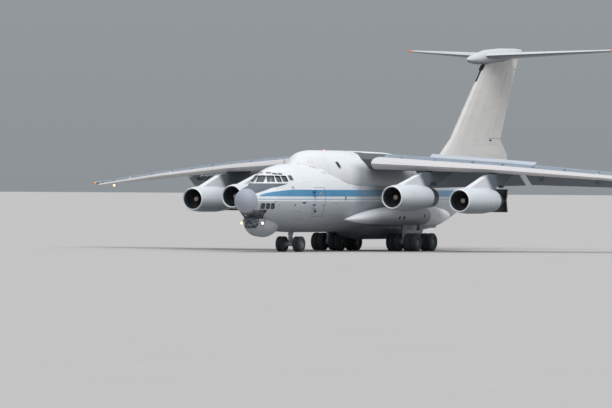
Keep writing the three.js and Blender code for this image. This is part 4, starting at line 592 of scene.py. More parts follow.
# The body. Columns: station, crown, belly, half width.
BODY = [
    (0.86, 4.45, 2.76, 0.86), (1.3, 4.62, 2.44, 0.99), (2.1, 4.8, 2.05, 1.2), (2.75, 4.9, 1.84, 1.34),
    (3.4, 5.5, 1.7, 1.46), (4.1, 5.79, 1.6, 1.6), (5.2, 6.05, 1.48, 1.86), (6.6, 6.2, 1.4, 2.18),
    (8.2, 6.25, 1.38, 2.37), (9.5, 6.25, 1.38, 2.4), (27.2, 6.25, 1.38, 2.4), (29.4, 6.25, 1.56, 2.4),
    (32, 6.25, 2.3, 2.33), (34.4, 6.25, 3.2, 2.12), (37, 6.24, 4.02, 1.72), (39.6, 6.2, 4.62, 1.28),
    (42, 6.15, 5.05, 0.86), (43.2, 6.05, 5.25, 0.55), (43.6, 5.85, 5.42, 0.22),
]
HUMP_MIDDLE = 5.3
HUMP = [
    (x, top, 2 * HUMP_MIDDLE - top, half)
    for x, top, half in (
        (7.7, 6.15, 0.5), (8.4, 6.66, 0.95), (9.4, 7.08, 1.4), (10.8, 7.2, 1.85), (12.6, 7.2, 2.25),
        (14.6, 7.2, 2.36), (21.6, 7.12, 2.36), (24.4, 6.9, 2.1), (27, 6.55, 1.5), (29, 6.2, 0.6),
    )
]
# With a fifth column: how far out the middle is.
POD = [
    (x, z + up, z - up, half, aside)
    for x, half, up, aside, z in (
        (12.4, 0.12, 0.05, 1.98, 2.28), (13.3, 0.4, 0.24, 2.2, 2.34), (15.2, 0.7, 0.5, 2.6, 2.45),
        (18, 0.85, 0.66, 2.9, 2.55), (24, 0.86, 0.68, 2.9, 2.55), (26, 0.66, 0.52, 2.9, 2.55),
        (27.3, 0.28, 0.24, 2.9, 2.55), (27.7, 0.05, 0.05, 2.9, 2.55),
    )
]
KEEL_Z = 1.75
KEEL = [
    (x, KEEL_Z + up, KEEL_Z - up, half)
    for x, half, up in (
        (15.6, 0.5, 0.3), (17, 1.3, 0.72), (18.8, 1.7, 0.92), (23.6, 1.7, 0.92), (25.6, 1.3, 0.7),
        (27, 0.5, 0.3),
    )
]
CHIN = {"front": 1.15, "rear": 5.15, "middle": 2.0, "half_width": 0.92, "half_height": 0.95}
# How many flat sides the solids have round their sections.
BODY_SIDES, POD_SIDES, COWL_SIDES = 20, 16, 16


def chin_rows():
    rows = []
    for t in (0, 0.04, 0.15, 0.32, 0.55, 0.78, 0.93, 1):
        size = max(math.sqrt(max(0.0, 1 - (2 * t - 1) ** 2)), 1e-4)
        half = CHIN["half_height"] * size
        x = CHIN["front"] + (CHIN["rear"] - CHIN["front"]) * t
        rows.append((x, CHIN["middle"] + half, CHIN["middle"] - half, CHIN["half_width"] * size))
    return rows


def section_at(rows, x, curve=spline):
    """Middle height, half height, half width and middle across of a section."""
    top, bottom, half, aside = [*curve(rows, x), 0][:4]
    return (top + bottom) / 2, (top - bottom) / 2, half, aside


def rounded(node, name, looks, rows, sides, limit, s=1, pick=None):
    """The solid of straight facets, refined, with its outer faces bent to the round section."""
    bm = node_mesh(node, limit)
    low = math.cos(math.pi / sides) - 0.012
    for vert in bm.verts:
        x, y, z = vert.co
        if not rows[0][0] - 0.01 <= x <= rows[-1][0] + 0.01:
            continue
        middle, up, half, aside = section_at(rows, x, straight)
        across, rise = (y - aside * s) / half, (z - middle) / up
        reach = math.hypot(across, rise)
        if low < reach < 1.002:
            middle, up, half, aside = section_at(rows, x)
            vert.co.y = across / reach * half + aside * s
            vert.co.z = middle + rise / reach * up
    stand_in(node, name, bm, looks, pick)


def shell_pick(face):
    """1 on the walls of the hold and the flight deck, and on the inner sides and edges of doors."""
    c = face.calc_center_median()
    middle, up, half, _ = section_at(BODY, c.x, straight)
    within = math.hypot(c.y / half, (c.z - middle) / up) < 0.995
    return int(within and face.normal.dot(Vector((0, c.y, c.z - middle))) < 0.02)


def turned_round(node, name, looks, middle, limit, pick):
    """A turned solid of straight facets along X about (y, z), refined and bent to the circle."""
    bm = node_mesh(node, limit)
    facet = 2 * math.pi / COWL_SIDES
    for vert in bm.verts:
        y, z = vert.co.y - middle[0], vert.co.z - middle[1]
        off = math.atan2(y, z) / facet
        grow = math.cos((off - round(off)) * facet) / math.cos(facet / 2)
        vert.co.y, vert.co.z = middle[0] + y * grow, middle[1] + z * grow
    stand_in(node, name, bm, looks, pick)


def dressed(node, name, looks, limit=None, pick=None):
    """The solid's own shape with smooth shading."""
    stand_in(node, name, node_mesh(node, limit), looks, pick)


def track_pick(face):
    """1 on the brackets and tracks that stand out of the wing's lower side and back."""
    c = face.calc_center_median()
    chord, middle, _, slope = straight(WING_STATIONS, abs(c.y))
    lower = middle + 0.3 * slope * chord - 0.075 * chord - 0.08
    behind = c.x > WING_PLAN["apex"] + SWEEP * abs(c.y) + WING_PLAN["spar"] * chord + 0.05
    return int(c.z < lower or (behind and 3 < abs(c.y) < 17.8 and abs(face.normal.y) > 0.5))


def shell(node, name, limit):
    rounded(node, name, SHELL, BODY, BODY_SIDES, limit, pick=shell_pick)


shell("nose_section", "nose_skin", 0.3)
shell("centre_fuselage", "centre_skin", 0.6)
shell("tail_section", "tail_skin", 0.5)
shell("cargo_ramp", "cargo_ramp_skin", 0.4)
shell("cargo_door_centre", "cargo_door_centre_skin", 0.4)
rounded("wing_fairing", "root_fairing_skin", [HUMP_PAINT], HUMP, BODY_SIDES, 0.4)
rounded("belly_fairing", "belly_skin", [BELLY_GREY_AND_SHADE], KEEL, POD_SIDES, 0.4)
rounded("chin_radome", "chin_skin", [CHIN_PAINT], chin_rows(), POD_SIDES, 0.2)
for side, s in SIDES:
    shell(f"crew_door_{side}", f"crew_door_skin_{side}", 0.3)
    shell(f"cargo_door_{side}", f"cargo_door_skin_{side}", 0.4)
    rounded(f"gear_fairing_{side}", f"gear_pod_{side}", [POD_PAINT], POD, POD_SIDES, 0.4, s)
    dressed(f"main_legs_{side}", f"main_struts_{side}", [GEAR_PAINT])
    for node, look in (
        ("slat", SLAT), ("aileron", SPOILER), ("spoiler", SPOILER), ("flap_inner", FLAP),
        ("flap_outer", FLAP), ("elevator", TAILPLANE),
    ):
        dressed(f"{node}_{side}", f"{node}_skin_{side}", [look])
dressed("wing", "wing_skin", [WING, TRACK_METAL_AND_SLOT_SHADE], pick=track_pick)
dressed("fin", "fin_skin", [FIN], 1.0)
dressed("rudder", "rudder_skin", [FIN])
dressed("tailplane", "tailplane_skin", [TAILPLANE])
for node, look in (
    ("flight_deck", INSIDE), ("cockpit_glass", GLASS), ("navigator_glass", GLASS),
    ("nose_leg", GEAR_PAINT), ("nose_steering", GEAR_PAINT),
):
    frame["nodes"][node].data.materials.clear()
    frame["nodes"][node].data.materials.append(look.material)


# Things that lie on a curved skin. Most are drawn on the right and mirrored.
def pane_axes(turn, tilt):
    """Outward, across and up of a plane: turned from straight ahead to the right, then tilted up."""
    a, b = math.radians(turn), math.radians(tilt)
    outward = Vector((-math.cos(b) * math.cos(a), math.cos(b) * math.sin(a), math.sin(b)))
    across = Vector((math.sin(a), math.cos(a), 0))
    return outward, across, across.cross(outward)


TOP = (Vector((0, 0, 1)), Vector((1, 0, 0)), Vector((0, 1, 0)))
UNDER = (Vector((0, 0, -1)), Vector((1, 0, 0)), Vector((0, -1, 0)))


def on_skin(start, outward, grow, rows=BODY):
    """Where the line through a point leaves the skin, this much further out."""
    low, high = -1.3, 1.3
    for _ in range(22):
        reach = (low + high) / 2
        p = start + outward * reach
        middle, up, half, aside = section_at(rows, p.x)
        inside = math.hypot((p.y - aside) / half, (p.z - middle) / up) < 1
        low, high = (reach, high) if inside else (low, reach)
    return start + outward * (low + grow)


def round_box(width, height, corner, steps=3):
    """The outline of a rectangle with round corners."""
    corner = min(corner, width / 2 - 1e-3, height / 2 - 1e-3)
    across, up = width / 2 - corner, height / 2 - corner
    points = []
    for sx, sy, start in ((1, 1, 0), (-1, 1, 90), (-1, -1, 180), (1, -1, 270)):
        for k in range(steps + 1):
            a = math.radians(start + 90 * k / steps)
            points.append((sx * across + corner * math.cos(a), sy * up + corner * math.sin(a)))
    return points


class OnSkin:
    """Draws on a skin from a place near it: patches, frames and small parts."""

    root = -0.02

    def __init__(self, shape, at, axes, rows=BODY):
        self.shape, self.at, self.rows = shape, Vector(at), rows
        self.outward, self.across, self.up = axes

    def point(self, u, v, grow):
        return on_skin(self.at + self.across * u + self.up * v, self.outward, grow, self.rows)

    def patch(self, width, height, corner, lift, look=0, slant=0.0):
        outline = round_box(width, height, corner)
        rings = [(1.0, self.root), (1.0, lift), (0.7, lift), (0.35, lift), (0.01, lift)]
        rings = [[self.point((u + v * slant) * k, v * k, grow) for u, v in outline] for k, grow in rings]
        self.shape.loft(rings, look)

    def frame(self, width, height, corner, band, lift, look=0, slant=0.0):
        inner = round_box(width, height, corner)
        outer = round_box(width + 2 * band, height + 2 * band, corner + band)
        rings = []
        for (a, b), (c, d) in zip(inner, outer):
            a, c = a + b * slant, c + d * slant
            corners = ((a, b, self.root), (a, b, lift), (c, d, lift), (c, d, self.root))
            rings.append([self.point(*corner) for corner in corners])
        self.shape.loft(rings + rings[:1], look, caps=False)

    def opening(self, width, height, corner, lift, band, rim, slant=0.0):
        """A patch with look 0, and a frame with look 1 round it."""
        self.patch(width, height, corner, lift, 0, slant)
        self.frame(width, height, corner, band, rim, 1, slant)

    def blade(self, length, height, thick=0.03, sweep=0.4):
        """A blade aerial: a thin swept fin that stands on the skin."""
        foot = self.point(0, 0, -0.03)
        aft = Vector((1, 0, 0))
        aft = (aft - self.outward * aft.dot(self.outward)).normalized()
        side = aft.cross(self.outward)
        rings = []
        for share in (0, 0.6, 1):
            chord = length * (1 - 0.45 * share)
            base = foot + self.outward * height * share + aft * height * sweep * share
            outline = ((0, 0), (0.3, 0.5), (1, 0), (0.3, -0.5))
            rings.append([base + aft * chord * t + side * w * thick for t, w in outline])
        self.shape.loft(rings)

    def dome(self, radius, height, look=0, stretch=1.0):
        foot = self.point(0, 0, -0.03)
        rings = []
        for k in range(6):
            a = math.radians(18 * k)
            r, h = radius * math.cos(a), height * math.sin(a)
            rings.append([
                foot + self.across * r * stretch * math.cos(t) + self.up * r * math.sin(t) + self.outward * h
                for t in (2 * math.pi * j / 20 for j in range(20))
            ])
        self.shape.loft(rings, look)


def side_place(shape, x, z, out=2.0, rows=BODY):
    """The place at a station and height of a skin, seen from the right."""
    return OnSkin(shape, (x, out, z), pane_axes(90, 0), rows)


def radome_shape(steps=18, sides=60):
    """Half a ball, stretched from the nose's first section to the tip."""
    end, top, bottom, half_width = BODY[0]
    middle, half_height = (top + bottom) / 2, (top - bottom) / 2
    rings = []
    for i in range(steps + 1):
        a = math.radians(90 * i / steps)
        size = max(math.sin(a), 1e-3)
        x, across, up = end * (1 - math.cos(a)), half_width * size, half_height * size
        rings.append([
            (x, across * math.sin(t), middle + up * math.cos(t))
            for t in (2 * math.pi * j / sides for j in range(sides))
        ])
    return Shape().loft(rings)


make_piece("radome_skin", radome_shape(), [RADOME], replaced=["nose_radome"])


# Engines. Columns: name, distance to the right, intake station, height of the middle.
ENGINES = (
    ("left_outer", -10.62, 13.05, 3.67), ("left_inner", -6.35, 10.92, 3.88),
    ("right_inner", 6.35, 10.92, 3.88), ("right_outer", 10.62, 13.05, 3.67),
)
COWL = {"lip": 0.1, "lip_radius": 0.7, "tail": 5.45, "hub_radius": 0.5}
FAN = {"middle": 0.92, "front": 0.85, "rear": 1.0, "tip": 0.672, "root": 0.26, "shaft": 0.12, "end": 1.35}
FAN_BLADES = 30
SPINNER_OUTLINE = [
    (0.5, 0), (0.52, 0.05), (0.58, 0.12), (0.65, 0.178), (0.72, 0.22), (0.79, 0.25), (0.85, 0.27),
]


def cowl_pick(x0, y0, z0):
    """Picks paint outside, then the lip, the duct, the tail and the hub; the duct and the hub take painted
    shade.
    """
    def pick(face):
        c = face.calc_center_median()
        out = Vector((0, c.y - y0, c.z - z0))
        if c.x - x0 < COWL["lip"] and out.length > COWL["lip_radius"]:
            return 1
        if c.x - x0 > COWL["tail"]:
            return 3
        if out.length < COWL["hub_radius"]:
            return 4
        return 2 if face.normal.dot(out) < 0 else 0
    return pick


def fan_blade(angle):
    """The rings of one blade, from root to tip. It twists and leans as it goes out."""
    rings = []
    for share in (0, 0.33, 0.66, 1):
        radius = FAN["root"] + (FAN["tip"] - FAN["root"]) * share
        twist = math.radians(25 + 38 * share)
        chord = 0.115 + 0.03 * share
        ring = []
        for t, w in ((-0.5, 0), (0, 0.006), (0.5, 0), (0, -0.006)):
            x = FAN["middle"] + chord * t * math.cos(twist) + w
            a = angle + 0.1 * share * share + (chord * t * math.sin(twist) + w) / radius
            ring.append((x, radius * math.sin(a), radius * math.cos(a)))
        rings.append(ring)
    return rings


def fan_shape():
    """Looks: spinner paint, blade metal, painted shade, steel."""
    fan = Shape()
    for outline, sides, look, caps in (
        (SPINNER_OUTLINE[:4], 36, 0, False), (SPINNER_OUTLINE[3:], 36, 2, False),
        ([(FAN["front"], 0.27), (0.99, 0.28)], 36, 1, True),
        ([(0.985, FAN["tip"]), (FAN["rear"], FAN["tip"])], 48, 2, True),
        ([(FAN["rear"], FAN["shaft"]), (FAN["end"], FAN["shaft"])], 16, 3, True),
    ):
        fan.turn(outline, (0, 0, 0), (1, 0, 0), sides, look, caps)
    for k in range(FAN_BLADES):
        fan.loft(fan_blade(2 * math.pi * k / FAN_BLADES), 1)
    return fan


def lining_pick(node):
    """Picks the pale band round the middle of a bucket."""
    front, rear = sorted((TO_REAL @ Vector(corner)).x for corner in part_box(node))
    return lambda face: int(0.34 < (face.calc_center_median().x - front) / (rear - front) < 0.6)


for name, y, x, z in ENGINES:
    # The duct and the hub are painted shade.
    cowl_looks = [NACELLE, LIP, DUCT_SHADE, HOT, RECESS_SHADE]
    turned_round(f"nacelle_{name}", f"cowl_{name}", cowl_looks, (y, z), 0.22, cowl_pick(x, y, z))
    dressed(f"pylon_{name}", f"pylon_skin_{name}", [PYLON])
    fan = Shape().join(fan_shape(), Matrix.Translation((x, y, z)))
    make_piece(f"fan_blades_{name}", fan, [SPINNER, BLADES, RECESS_SHADE, STEEL], f"fan_{name}", [f"fan_{name}"], 50)
for half in ("upper", "lower"):
    for side, _ in SIDES:
        node = f"reverser_{half}_{side}_outer"
        dressed(node, f"bucket_{half}_{side}", [HOT, LINING], 0.2, lining_pick(node))

# Wheels
MAIN_GEAR = {"x": 21.2, "y": 3.02, "z": 0.65, "spacing": 2.6}
NOSE_GEAR = {"x": 7.7, "z": 0.55}
MAIN_WHEEL = {"radius": 0.65, "width": 0.48, "rim": 0.3, "axle": 0.1, "places": (-0.94, -0.45, 0.45, 0.94)}
NOSE_WHEEL = {
    "radius": 0.55, "width": 0.29, "rim": 0.26, "axle": 0.07, "places": (-0.81, -0.508, 0.508, 0.81),
}


def add_wheel(shape, y, radius, width, rim):
    """A tyre with grooves, and its rim with bolts, about an axle along Y. Looks: rubber, rim, steel."""
    w = width / 2
    wall = [
        (-0.7 * w, rim), (-0.9 * w, rim + 0.05 * radius), (-0.97 * w, radius * 0.8),
        (-0.93 * w, radius * 0.88), (-0.74 * w, radius * 0.965),
    ]
    tread = [
        ((groove + off) * w, radius * (0.995 - 0.04 * groove * groove) - depth)
        for groove in (-0.5, -0.17, 0.17, 0.5)
        for off, depth in ((-0.05, 0.0), (-0.03, 0.022), (0.03, 0.022), (0.05, 0.0))
    ]
    shape.turn(wall + tread + [(-d, r) for d, r in reversed(wall)], (0, y, 0), (0, 1, 0), 44, 0, caps=False)
    dish = [
        (0.7 * w, rim), (0.62 * w, rim * 0.93), (0.35 * w, rim * 0.86), (0.3 * w, rim * 0.5),
        (0.55 * w, rim * 0.42), (0.6 * w, 0),
    ]
    for end in (-1, 1):
        shape.turn(dish, (0, y, 0), (0, end, 0), 30, 1, caps=False)
        for k in range(9):
            a = 2 * math.pi * k / 9
            at = Vector((rim * 0.66 * math.cos(a), y + end * 0.28 * w, rim * 0.66 * math.sin(a)))
            shape.rod(at, at + Vector((0, end * 0.16 * w, 0)), rim * 0.07, 6, 2)


def wheels(node, name, at, kind):
    """Four wheels on one axle, with hubs on the inner sides of the middle two."""
    shape = Shape()
    radius, width, rim, places = (kind[k] for k in ("radius", "width", "rim", "places"))
    for y in places:
        add_wheel(shape, y, radius, width, rim)
    shape.rod((0, places[0], 0), (0, places[-1], 0), kind["axle"], 20, 2)
    for y, end in ((places[1], 1), (places[2], -1)):
        shape.rod((0, y, 0), (0, y + end * (width / 2 + 0.002), 0), rim * 0.8, 24, 2)
    placed = Shape().join(shape, Matrix.Translation(at))
    make_piece(name, placed, [TYRE, RIM, STEEL], node, [node], 42)


for side, s in SIDES:
    for end, way in (("front", -1), ("rear", 1)):
        at = (MAIN_GEAR["x"] + way * MAIN_GEAR["spacing"] / 2, MAIN_GEAR["y"] * s, MAIN_GEAR["z"])
        wheels(f"main_wheels_{side}_{end}", f"main_tyres_{side}_{end}", at, MAIN_WHEEL)
wheels("nose_wheels", "nose_tyres", (NOSE_GEAR["x"], 0, NOSE_GEAR["z"]), NOSE_WHEEL)


# Windows of the nose. Columns: station, distance from the middle, height, turn, tilt, width, height.
COCKPIT_PANES = (
    (3.05, 0, 5.13, 0, 40, 0.56, 0.62), (3.3, 0.62, 5.13, 38, 30, 0.52, 0.56),
    (3.74, 1.02, 5.15, 58, 25, 0.42, 0.52), (4.3, 1.24, 5.17, 74, 25, 0.5, 0.46),
)
NAVIGATOR_PANES = (
    (1.35, 0.32, 2.42, 18, -45, 0.46, 0.8), (1.55, 0.82, 2.58, 57, -33, 0.5, 0.72),
    (1.4, 1, 3.24, 75, -8, 0.34, 0.34), (1.9, 1.14, 3.24, 77, -8, 0.34, 0.34),
    (2.4, 1.24, 3.24, 79, -8, 0.34, 0.34),
)
EYEBROW_PANES = (
    (3.6, 0.3, 5.58, 20, 45, 0.36, 0.16), (3.76, 0.74, 5.6, 45, 45, 0.36, 0.16),
    (4.15, 1.04, 5.66, 62, 45, 0.36, 0.16), (4.95, 1.36, 5.22, 78, 25, 0.36, 0.4),
)
# Small openings, painted dark as shade. Columns: station, height, length, height of the mark.
BODY_MARKS = (
    (5.85, 3.47, 0.42, 0.1), (11.65, 3.82, 0.16, 0.34), (6.1, 2.28, 0.12, 0.12), (25.6, 4.6, 0.3, 0.2),
    (31.2, 4.8, 0.3, 0.3), (4.9, 3.3, 0.14, 0.14), (36.4, 5.3, 0.25, 0.18),
)
POD_MARKS = ((17.75, 2.4, 0.3, 0.26), (18.45, 2.42, 0.34, 0.3), (21.75, 2.5, 0.2, 0.34))
# Hatches drawn by a thin frame, with the same columns.
HATCHES = (
    (9.95, 3.0, 0.7, 0.9), (11.9, 2.3, 0.9, 0.5), (26.4, 4.6, 0.6, 0.9), (29.9, 4.6, 0.9, 1.3),
    (5.4, 2.6, 0.6, 0.5),
)


def window_frames():
    """Frames of the windows in three rows. The one in the middle is drawn once."""
    middle, side = Shape(), Shape()
    for panes, band in ((COCKPIT_PANES, 0.03), (NAVIGATOR_PANES, 0.05)):
        for x, y, z, turn, tilt, width, height in panes:
            place = OnSkin(side if y else middle, (x, y, z), pane_axes(turn, tilt))
            place.frame(width - 0.02, height - 0.02, 0.03, band, 0.012)
    return side.both().join(middle)


def eyebrow_windows():
    shape = Shape()
    for x, y, z, turn, tilt, width, height in EYEBROW_PANES:
        OnSkin(shape, (x, y, z), pane_axes(turn, tilt)).opening(width, height, 0.04, 0.008, 0.03, 0.014)
    return shape.both()


def nose_lamps():
    """Landing lamps under the flight deck, each on a stub. Looks: steel, rim, lit glass, dark shell."""
    shape = Shape()
    rim = [(0, 0.115), (0.02, 0.12), (0.03, 0.1), (0.012, 0.095)]
    for s in (1, -1):
        at = Vector((1.72, 0.82 * s, 2.04))
        root = on_skin(Vector((2.3, 0.84 * s, 2.5)), Vector((0, 0.2 * s, -1)).normalized(), -0.05)
        shape.rod(at + Vector((0.12, 0, 0.03)), root, 0.035, 12, 0, 0.06)
        back = at + Vector((0.2, 0, 0))
        shape.turn([(0, 0.03), (0.04, 0.08), (0.14, 0.11), (0.2, 0.115)], back, (-1, 0, 0), 22, 3)
        shape.turn(rim, at, (-1, 0, 0), 22, 1, caps=False)
        shape.turn([(-0.01, 0.098), (0.01, 0.09), (0.035, 0.06), (0.045, 0)], at, (-1, 0, 0), 22, 2)
    return shape


def body_marks():
    shape = Shape()
    for x, z, long, tall in BODY_MARKS:
        side_place(shape, x, z).opening(long, tall, 0.04, 0.004, 0.022, 0.009)
    return shape.both()


def hatches():
    shape = Shape()
    for x, z, long, tall in HATCHES:
        side_place(shape, x, z).frame(long, tall, 0.09, 0.02, 0.006)
    return shape.both()


def pod_marks():
    """Openings painted dark as shade, and a hatch, on the outer side of the gear pods."""
    shape = Shape()
    for x, z, long, tall in POD_MARKS:
        side_place(shape, x, z, 3.4, POD).opening(long, tall, 0.12, 0.005, 0.025, 0.01)
    side_place(shape, 20.6, 2.75, 3.4, POD).frame(1.5, 0.5, 0.1, 0.02, 0.007, 1)
    return shape.both()


def crew_door_details():
    """A round window, a handle and a step painted dark as shade. Looks: glass, frame, steel, painted shade.
    """
    shape = Shape()
    side_place(shape, 7.8, 4.02).opening(0.2, 0.2, 0.1, 0.006, 0.035, 0.014)
    side_place(shape, 8.2, 3.3).patch(0.22, 0.07, 0.03, 0.02, 2)
    side_place(shape, 7.35, 2.86).patch(0.22, 0.16, 0.03, 0.012, 3)
    return shape


def root_fairing_details():
    """Cooling intakes, bulges and hatches of the fairing over the wing. Looks: painted shade in the intakes,
    frame, paint.
    """
    sides = Shape()
    intake = OnSkin(sides, (11.5, 2.0, 6.25), pane_axes(75, 25), HUMP)
    intake.opening(0.3, 0.5, 0.15, 0.006, 0.05, 0.03, -0.3)
    OnSkin(sides, (9.3, 1.7, 5.75), pane_axes(70, 30)).dome(0.26, 0.12, 2, 1.8)
    shape = sides.both()
    for x, y in ((12.6, 0.9), (15.4, -0.9), (19.8, 0.9)):
        OnSkin(shape, (x, y, 7.0), TOP, HUMP).frame(0.9, 0.6, 0.12, 0.02, 0.008, 1)
    return shape


def beacons():
    """The orange beacon on top, and a small lamp to the left of it. Looks: glass, ring."""
    shape, lamp = Shape(), Shape()
    beacon = OnSkin(shape, (12.95, 0, 7.2), TOP, HUMP)
    beacon.dome(0.12, 0.04, 1)
    beacon.dome(0.09, 0.1, 0, 1.6)
    OnSkin(lamp, (8.7, 1.0, 6.65), pane_axes(60, 50), HUMP).dome(0.06, 0.06)
    return shape.join(lamp, MIRROR)


def aerials():
    sides = Shape()
    side_place(sides, 4.6, 4.6).blade(0.3, 0.22)
    shape = sides.both()
    for x, z in ((6.4, 6.2), (28.7, 6.3)):
        OnSkin(shape, (x, 0, z), TOP).blade(0.45, 0.42)
    OnSkin(shape, (29.8, 0.35, 1.5), UNDER).blade(0.4, 0.34)
    return shape


def air_probes():
    """Airspeed tubes on the sides of the nose."""
    shape = Shape()
    for s in (1, -1):
        for x, z in ((2.7, 3.55), (3.1, 3.3)):
            foot = on_skin(Vector((x, 1.2 * s, z)), Vector((0, s, 0)), -0.02)
            knee = foot + Vector((-0.1, 0.17 * s, 0))
            shape.rod(foot, knee, 0.03, 10, 0, 0.02)
            shape.rod(knee + Vector((0.05, 0, 0)), knee + Vector((-0.34, 0, 0)), 0.022, 10, 0, 0.012)
    return shape


def slat_slots():
    """The slots that the slat's rods come out of, as dark blocks of painted shade on the sloping nose of the
    fixed wing.
    """
    shape = Shape()
    top, slope = WING_PLAN["nose_top"], math.tan(WING_PLAN["nose_slope"])
    for y in SLAT_SLOTS:
        depth = half_depth(top, straight(WING_STATIONS, y)[2])
        corners = ((0.1, -0.02), (0.1, 0.006), (0.15, 0.006), (0.15, -0.02))
        shape.loft([
            [wing_point(y + side, u, depth - (top - u) * slope, lift) for u, lift in corners]
            for side in (-0.07, 0.07)
        ])
    return shape.both()


def tip_lamps():
    """Orange lamps on the wing tips, and a landing lamp under each. Looks: glass, rim, lit, paint."""
    shape = Shape()
    for u, radius in ((0.05, 0.1), (0.16, 0.08)):
        at = wing_point(WING_PLAN["tip"] - 0.04, u) + Vector((0.12, 0, 0))
        shape.turn([(0, radius), (0.16, radius * 0.9), (0.3, radius * 0.55), (0.36, 0)], at, (-1, 0, 0), 18)
    at = wing_point(23.5, 0.2, -half_depth(0.2, straight(WING_STATIONS, 23.5)[2]), -0.16)
    shape.turn([(-0.2, 0.03), (-0.14, 0.09), (0, 0.12), (0.04, 0.12)], at, (-1, 0, 0), 20, 3)
    rim = [(0.035, 0.125), (0.05, 0.125), (0.05, 0.105), (0.03, 0.1)]
    shape.turn(rim, at, (-1, 0, 0), 20, 1, caps=False)
    shape.turn([(0.03, 0.108), (0.05, 0.09), (0.06, 0)], at, (-1, 0, 0), 20, 2)
    return shape.both()


def static_wicks():
    """Thin rods behind the tips of the wing and the tailplane."""
    shape = Shape()
    y = WING_PLAN["tip"] - 0.03
    for share in (0.72, 0.8, 0.88, 0.96):
        root = wing_point(y, share, 0.2 * half_depth(share, straight(WING_STATIONS, y)[2]))
        shape.rod(root + Vector((-0.05, -0.05, 0)), root + Vector((0.22, 0.06, 0.01)), 0.01, 6)
    for y in (8.45, 8.58):
        shape.rod((46.51, y, 14.92), (LENGTH, y, 14.92), 0.01, 6)
    return shape.both()


# The fin's front edge is at this station plus the height.
FIN_FRONT = 25.85
# Rings of the scoop and of the strip on it. Columns: height, front, rear, half width.
SCOOP = (
    (13.3, -0.02, 0.5, 0.08), (13.4, -0.12, 0.6, 0.15), (13.7, -0.12, 0.7, 0.16), (13.8, 0.04, 0.8, 0.1),
)
STRIP = ((12.5, -0.03, 0.2, 0.1), (13.35, -0.03, 0.2, 0.1))


def fin_details():
    """The scoop and the strip on the fin's front, the gap at the rudder and a lamp. Looks: dark, with
    painted shade in the scoop and the gap, and glass.
    """
    shape = Shape()
    for rows, narrow in ((SCOOP, 0.7), (STRIP, 0.3)):
        rings = []
        for z, front, rear, half in rows:
            x = FIN_FRONT + z
            tip = half * narrow
            outline = ((front, -tip), (front, tip), (rear, half), (rear, -half))
            rings.append([(x + along, across, z) for along, across in outline])
        shape.loft(rings)
    shape.block((40.35, -0.26, 8.1), (40.7, 0.26, 8.19), 0)
    return shape.rod((46.3, 0, 14.9), (46.56, 0, 14.93), 0.07, 12, 1, 0.03)


def main_gear_details(s):
    """Links, braces, hoses and the plate that spans the legs. Looks: paint, chrome, rubber, plate."""
    shape = Shape()
    y = MAIN_GEAR["y"] * s
    for way in (-1, 1):
        x = MAIN_GEAR["x"] + way * MAIN_GEAR["spacing"] / 2
        shape.rod((x, y, 1.0), (x, y, 1.32), 0.186, 24)
        shape.rod((x, y, 1.5), (x, y, 1.62), 0.2, 24)
        knee, foot = x - 0.38 * way, x - 0.12 * way
        for a in (y - 0.05, y + 0.05):
            shape.rod((foot, a, 1.42), (knee, a, 1.12), 0.03, 8)
            shape.rod((knee, a, 1.12), (foot, a, 0.82), 0.03, 8)
        shape.rod((knee, y - 0.08, 1.12), (knee, y + 0.08, 1.12), 0.035, 10, 1)
        shape.rod((x + 0.16 * way, y - 0.1 * s, 0.85), (x + 0.19 * way, y - 0.1 * s, 1.9), 0.02, 8, 2)
        shape.rod((x + 0.1 * way, y + 0.14 * s, 0.85), (x + 0.12 * way, y + 0.15 * s, 1.92), 0.016, 8, 2)
    x, y = MAIN_GEAR["x"], y + 0.16 * s
    shape.block((x - 1.15, y - 0.02, 1.2), (x + 1.15, y + 0.02, 1.5), 3)
    for rib in (-0.8, -0.4, 0, 0.4, 0.8):
        edge = y + 0.01 * s
        shape.block((x + rib - 0.02, edge - 0.022, 1.18), (x + rib + 0.02, edge + 0.022, 1.52), 0)
    return shape


def nose_gear_details():
    """A collar, a link and hoses on the part that steers. Looks: paint, chrome, rubber."""
    shape = Shape()
    x = NOSE_GEAR["x"]
    shape.rod((x, 0, 0.98), (x, 0, 1.08), 0.17, 22)
    for y in (-0.06, 0.06):
        shape.rod((x + 0.1, y, 1.02), (x + 0.34, y, 0.88), 0.022, 8)
        shape.rod((x + 0.34, y, 0.88), (x + 0.12, y, 0.68), 0.022, 8)
    shape.rod((x + 0.34, -0.09, 0.88), (x + 0.34, 0.09, 0.88), 0.028, 10, 1)
    for y in (-0.1, 0.1):
        shape.rod((x - 0.1, y, 0.62), (x - 0.1, y, 1.05), 0.014, 8, 2)
    return shape


def nose_leg_details():
    """The collar and the braces at the top of the leg. Looks: paint, steel."""
    shape = Shape()
    x = NOSE_GEAR["x"]
    for y in (-0.13, 0.13):
        shape.rod((x + 0.02, y, 1.24), (x + 0.12, y * 1.6, 1.5), 0.03, 8, 1)
    return shape.rod((x, 0, 1.18), (x, 0, 1.28), 0.185, 22)


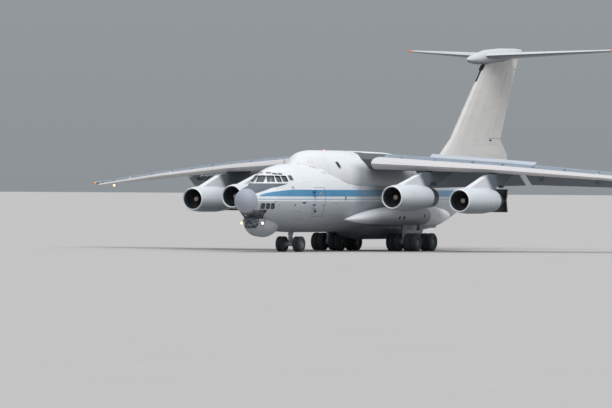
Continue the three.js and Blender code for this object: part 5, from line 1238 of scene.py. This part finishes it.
for name, shape, looks in (
    ("window_frames", window_frames(), [SEAL]),
    ("eyebrow_windows", eyebrow_windows(), [GLASS, FRAME_GREY]),
    ("nose_lamps", nose_lamps(), [STEEL, LIP, LAMP, SEAL]),
    ("body_openings", body_marks(), [RECESS_SHADE, FRAME_GREY]),
    ("hatch_frames", hatches(), [SEAM]),
    ("root_fairing_details", root_fairing_details(), [RECESS_SHADE, FRAME_GREY, WHITE_PAINT]),
    ("beacons", beacons(), [RED_GLASS, STEEL]),
    ("blade_aerials", aerials(), [FRAME_GREY]),
    ("air_probes", air_probes(), [STEEL]),
    ("pod_openings", pod_marks(), [RECESS_SHADE, FRAME_GREY]),
    ("slat_slots", slat_slots(), [TRACK_METAL_AND_SLOT_SHADE]),
    ("wing_lamps", tip_lamps(), [RED_GLASS, LIP, LAMP, FRAME_GREY]),
    ("static_wicks", static_wicks(), [STEEL]),
    ("fin_details", fin_details(), [RECESS_SHADE, RED_GLASS]),
    ("nose_leg_details", nose_leg_details(), [GEAR_PAINT, STEEL]),
):
    make_piece(name, shape, looks)
door = crew_door_details()
for side, s in SIDES:
    looks = [GLASS, FRAME_GREY, STEEL, RECESS_SHADE]
    make_piece(f"crew_door_details_{side}", door.on_side(s), looks, f"crew_door_{side}")
    make_piece(f"main_gear_details_{side}", main_gear_details(s), [GEAR_PAINT, CHROME, TYRE, PLATE])
make_piece("nose_gear_links", nose_gear_details(), [GEAR_PAINT, CHROME, TYRE], "nose_steering")


# Stage, light and camera
def make_floor(size=1500):
    floor = bpy.data.meshes.new("floor")
    corners = [(-size, -size, 0), (size, -size, 0), (size, size, 0), (-size, size, 0)]
    floor.from_pydata(corners, [], [(0, 1, 2, 3)])
    look = Look("floor_finish", "interior", roughness=0.9)
    look.paint(look.mix(look.noise(0.2), (0.42, 0.41, 0.4), (0.45, 0.44, 0.43)))
    floor.materials.append(look.material)
    stage = bpy.data.objects.new("floor", floor)
    bpy.context.scene.collection.objects.link(stage)


def make_light():
    """A sky that is darker at the horizon, and one soft sun."""
    world = bpy.data.worlds.new("sky")
    bpy.context.scene.world = world
    world.use_nodes = True
    tree = world.node_tree
    back = tree.nodes["Background"]
    place = tree.nodes.new("ShaderNodeTexCoord")
    parts = tree.nodes.new("ShaderNodeSeparateXYZ")
    ramp = tree.nodes.new("ShaderNodeValToRGB")
    tree.links.new(place.outputs["Generated"], parts.inputs[0])
    tree.links.new(parts.outputs[2], ramp.inputs[0])
    tree.links.new(ramp.outputs[0], back.inputs[0])
    ramp.color_ramp.elements[0].color = (0.3, 0.325, 0.345, 1)
    ramp.color_ramp.elements[1].color = (1.25, 1.28, 1.32, 1)
    back.inputs[1].default_value = 0.9
    sun = bpy.data.lights.new("soft_sun", "SUN")
    sun.energy, sun.angle = 1.5, math.radians(50)
    sun.color = (1, 0.99, 0.97)
    lamp = bpy.data.objects.new("soft_sun", sun)
    bpy.context.scene.collection.objects.link(lamp)
    lamp.rotation_euler = (math.radians(28), math.radians(-22), 0)


make_floor()
make_light()
make_camera()
bpy.context.scene.view_settings.view_transform = "Standard"
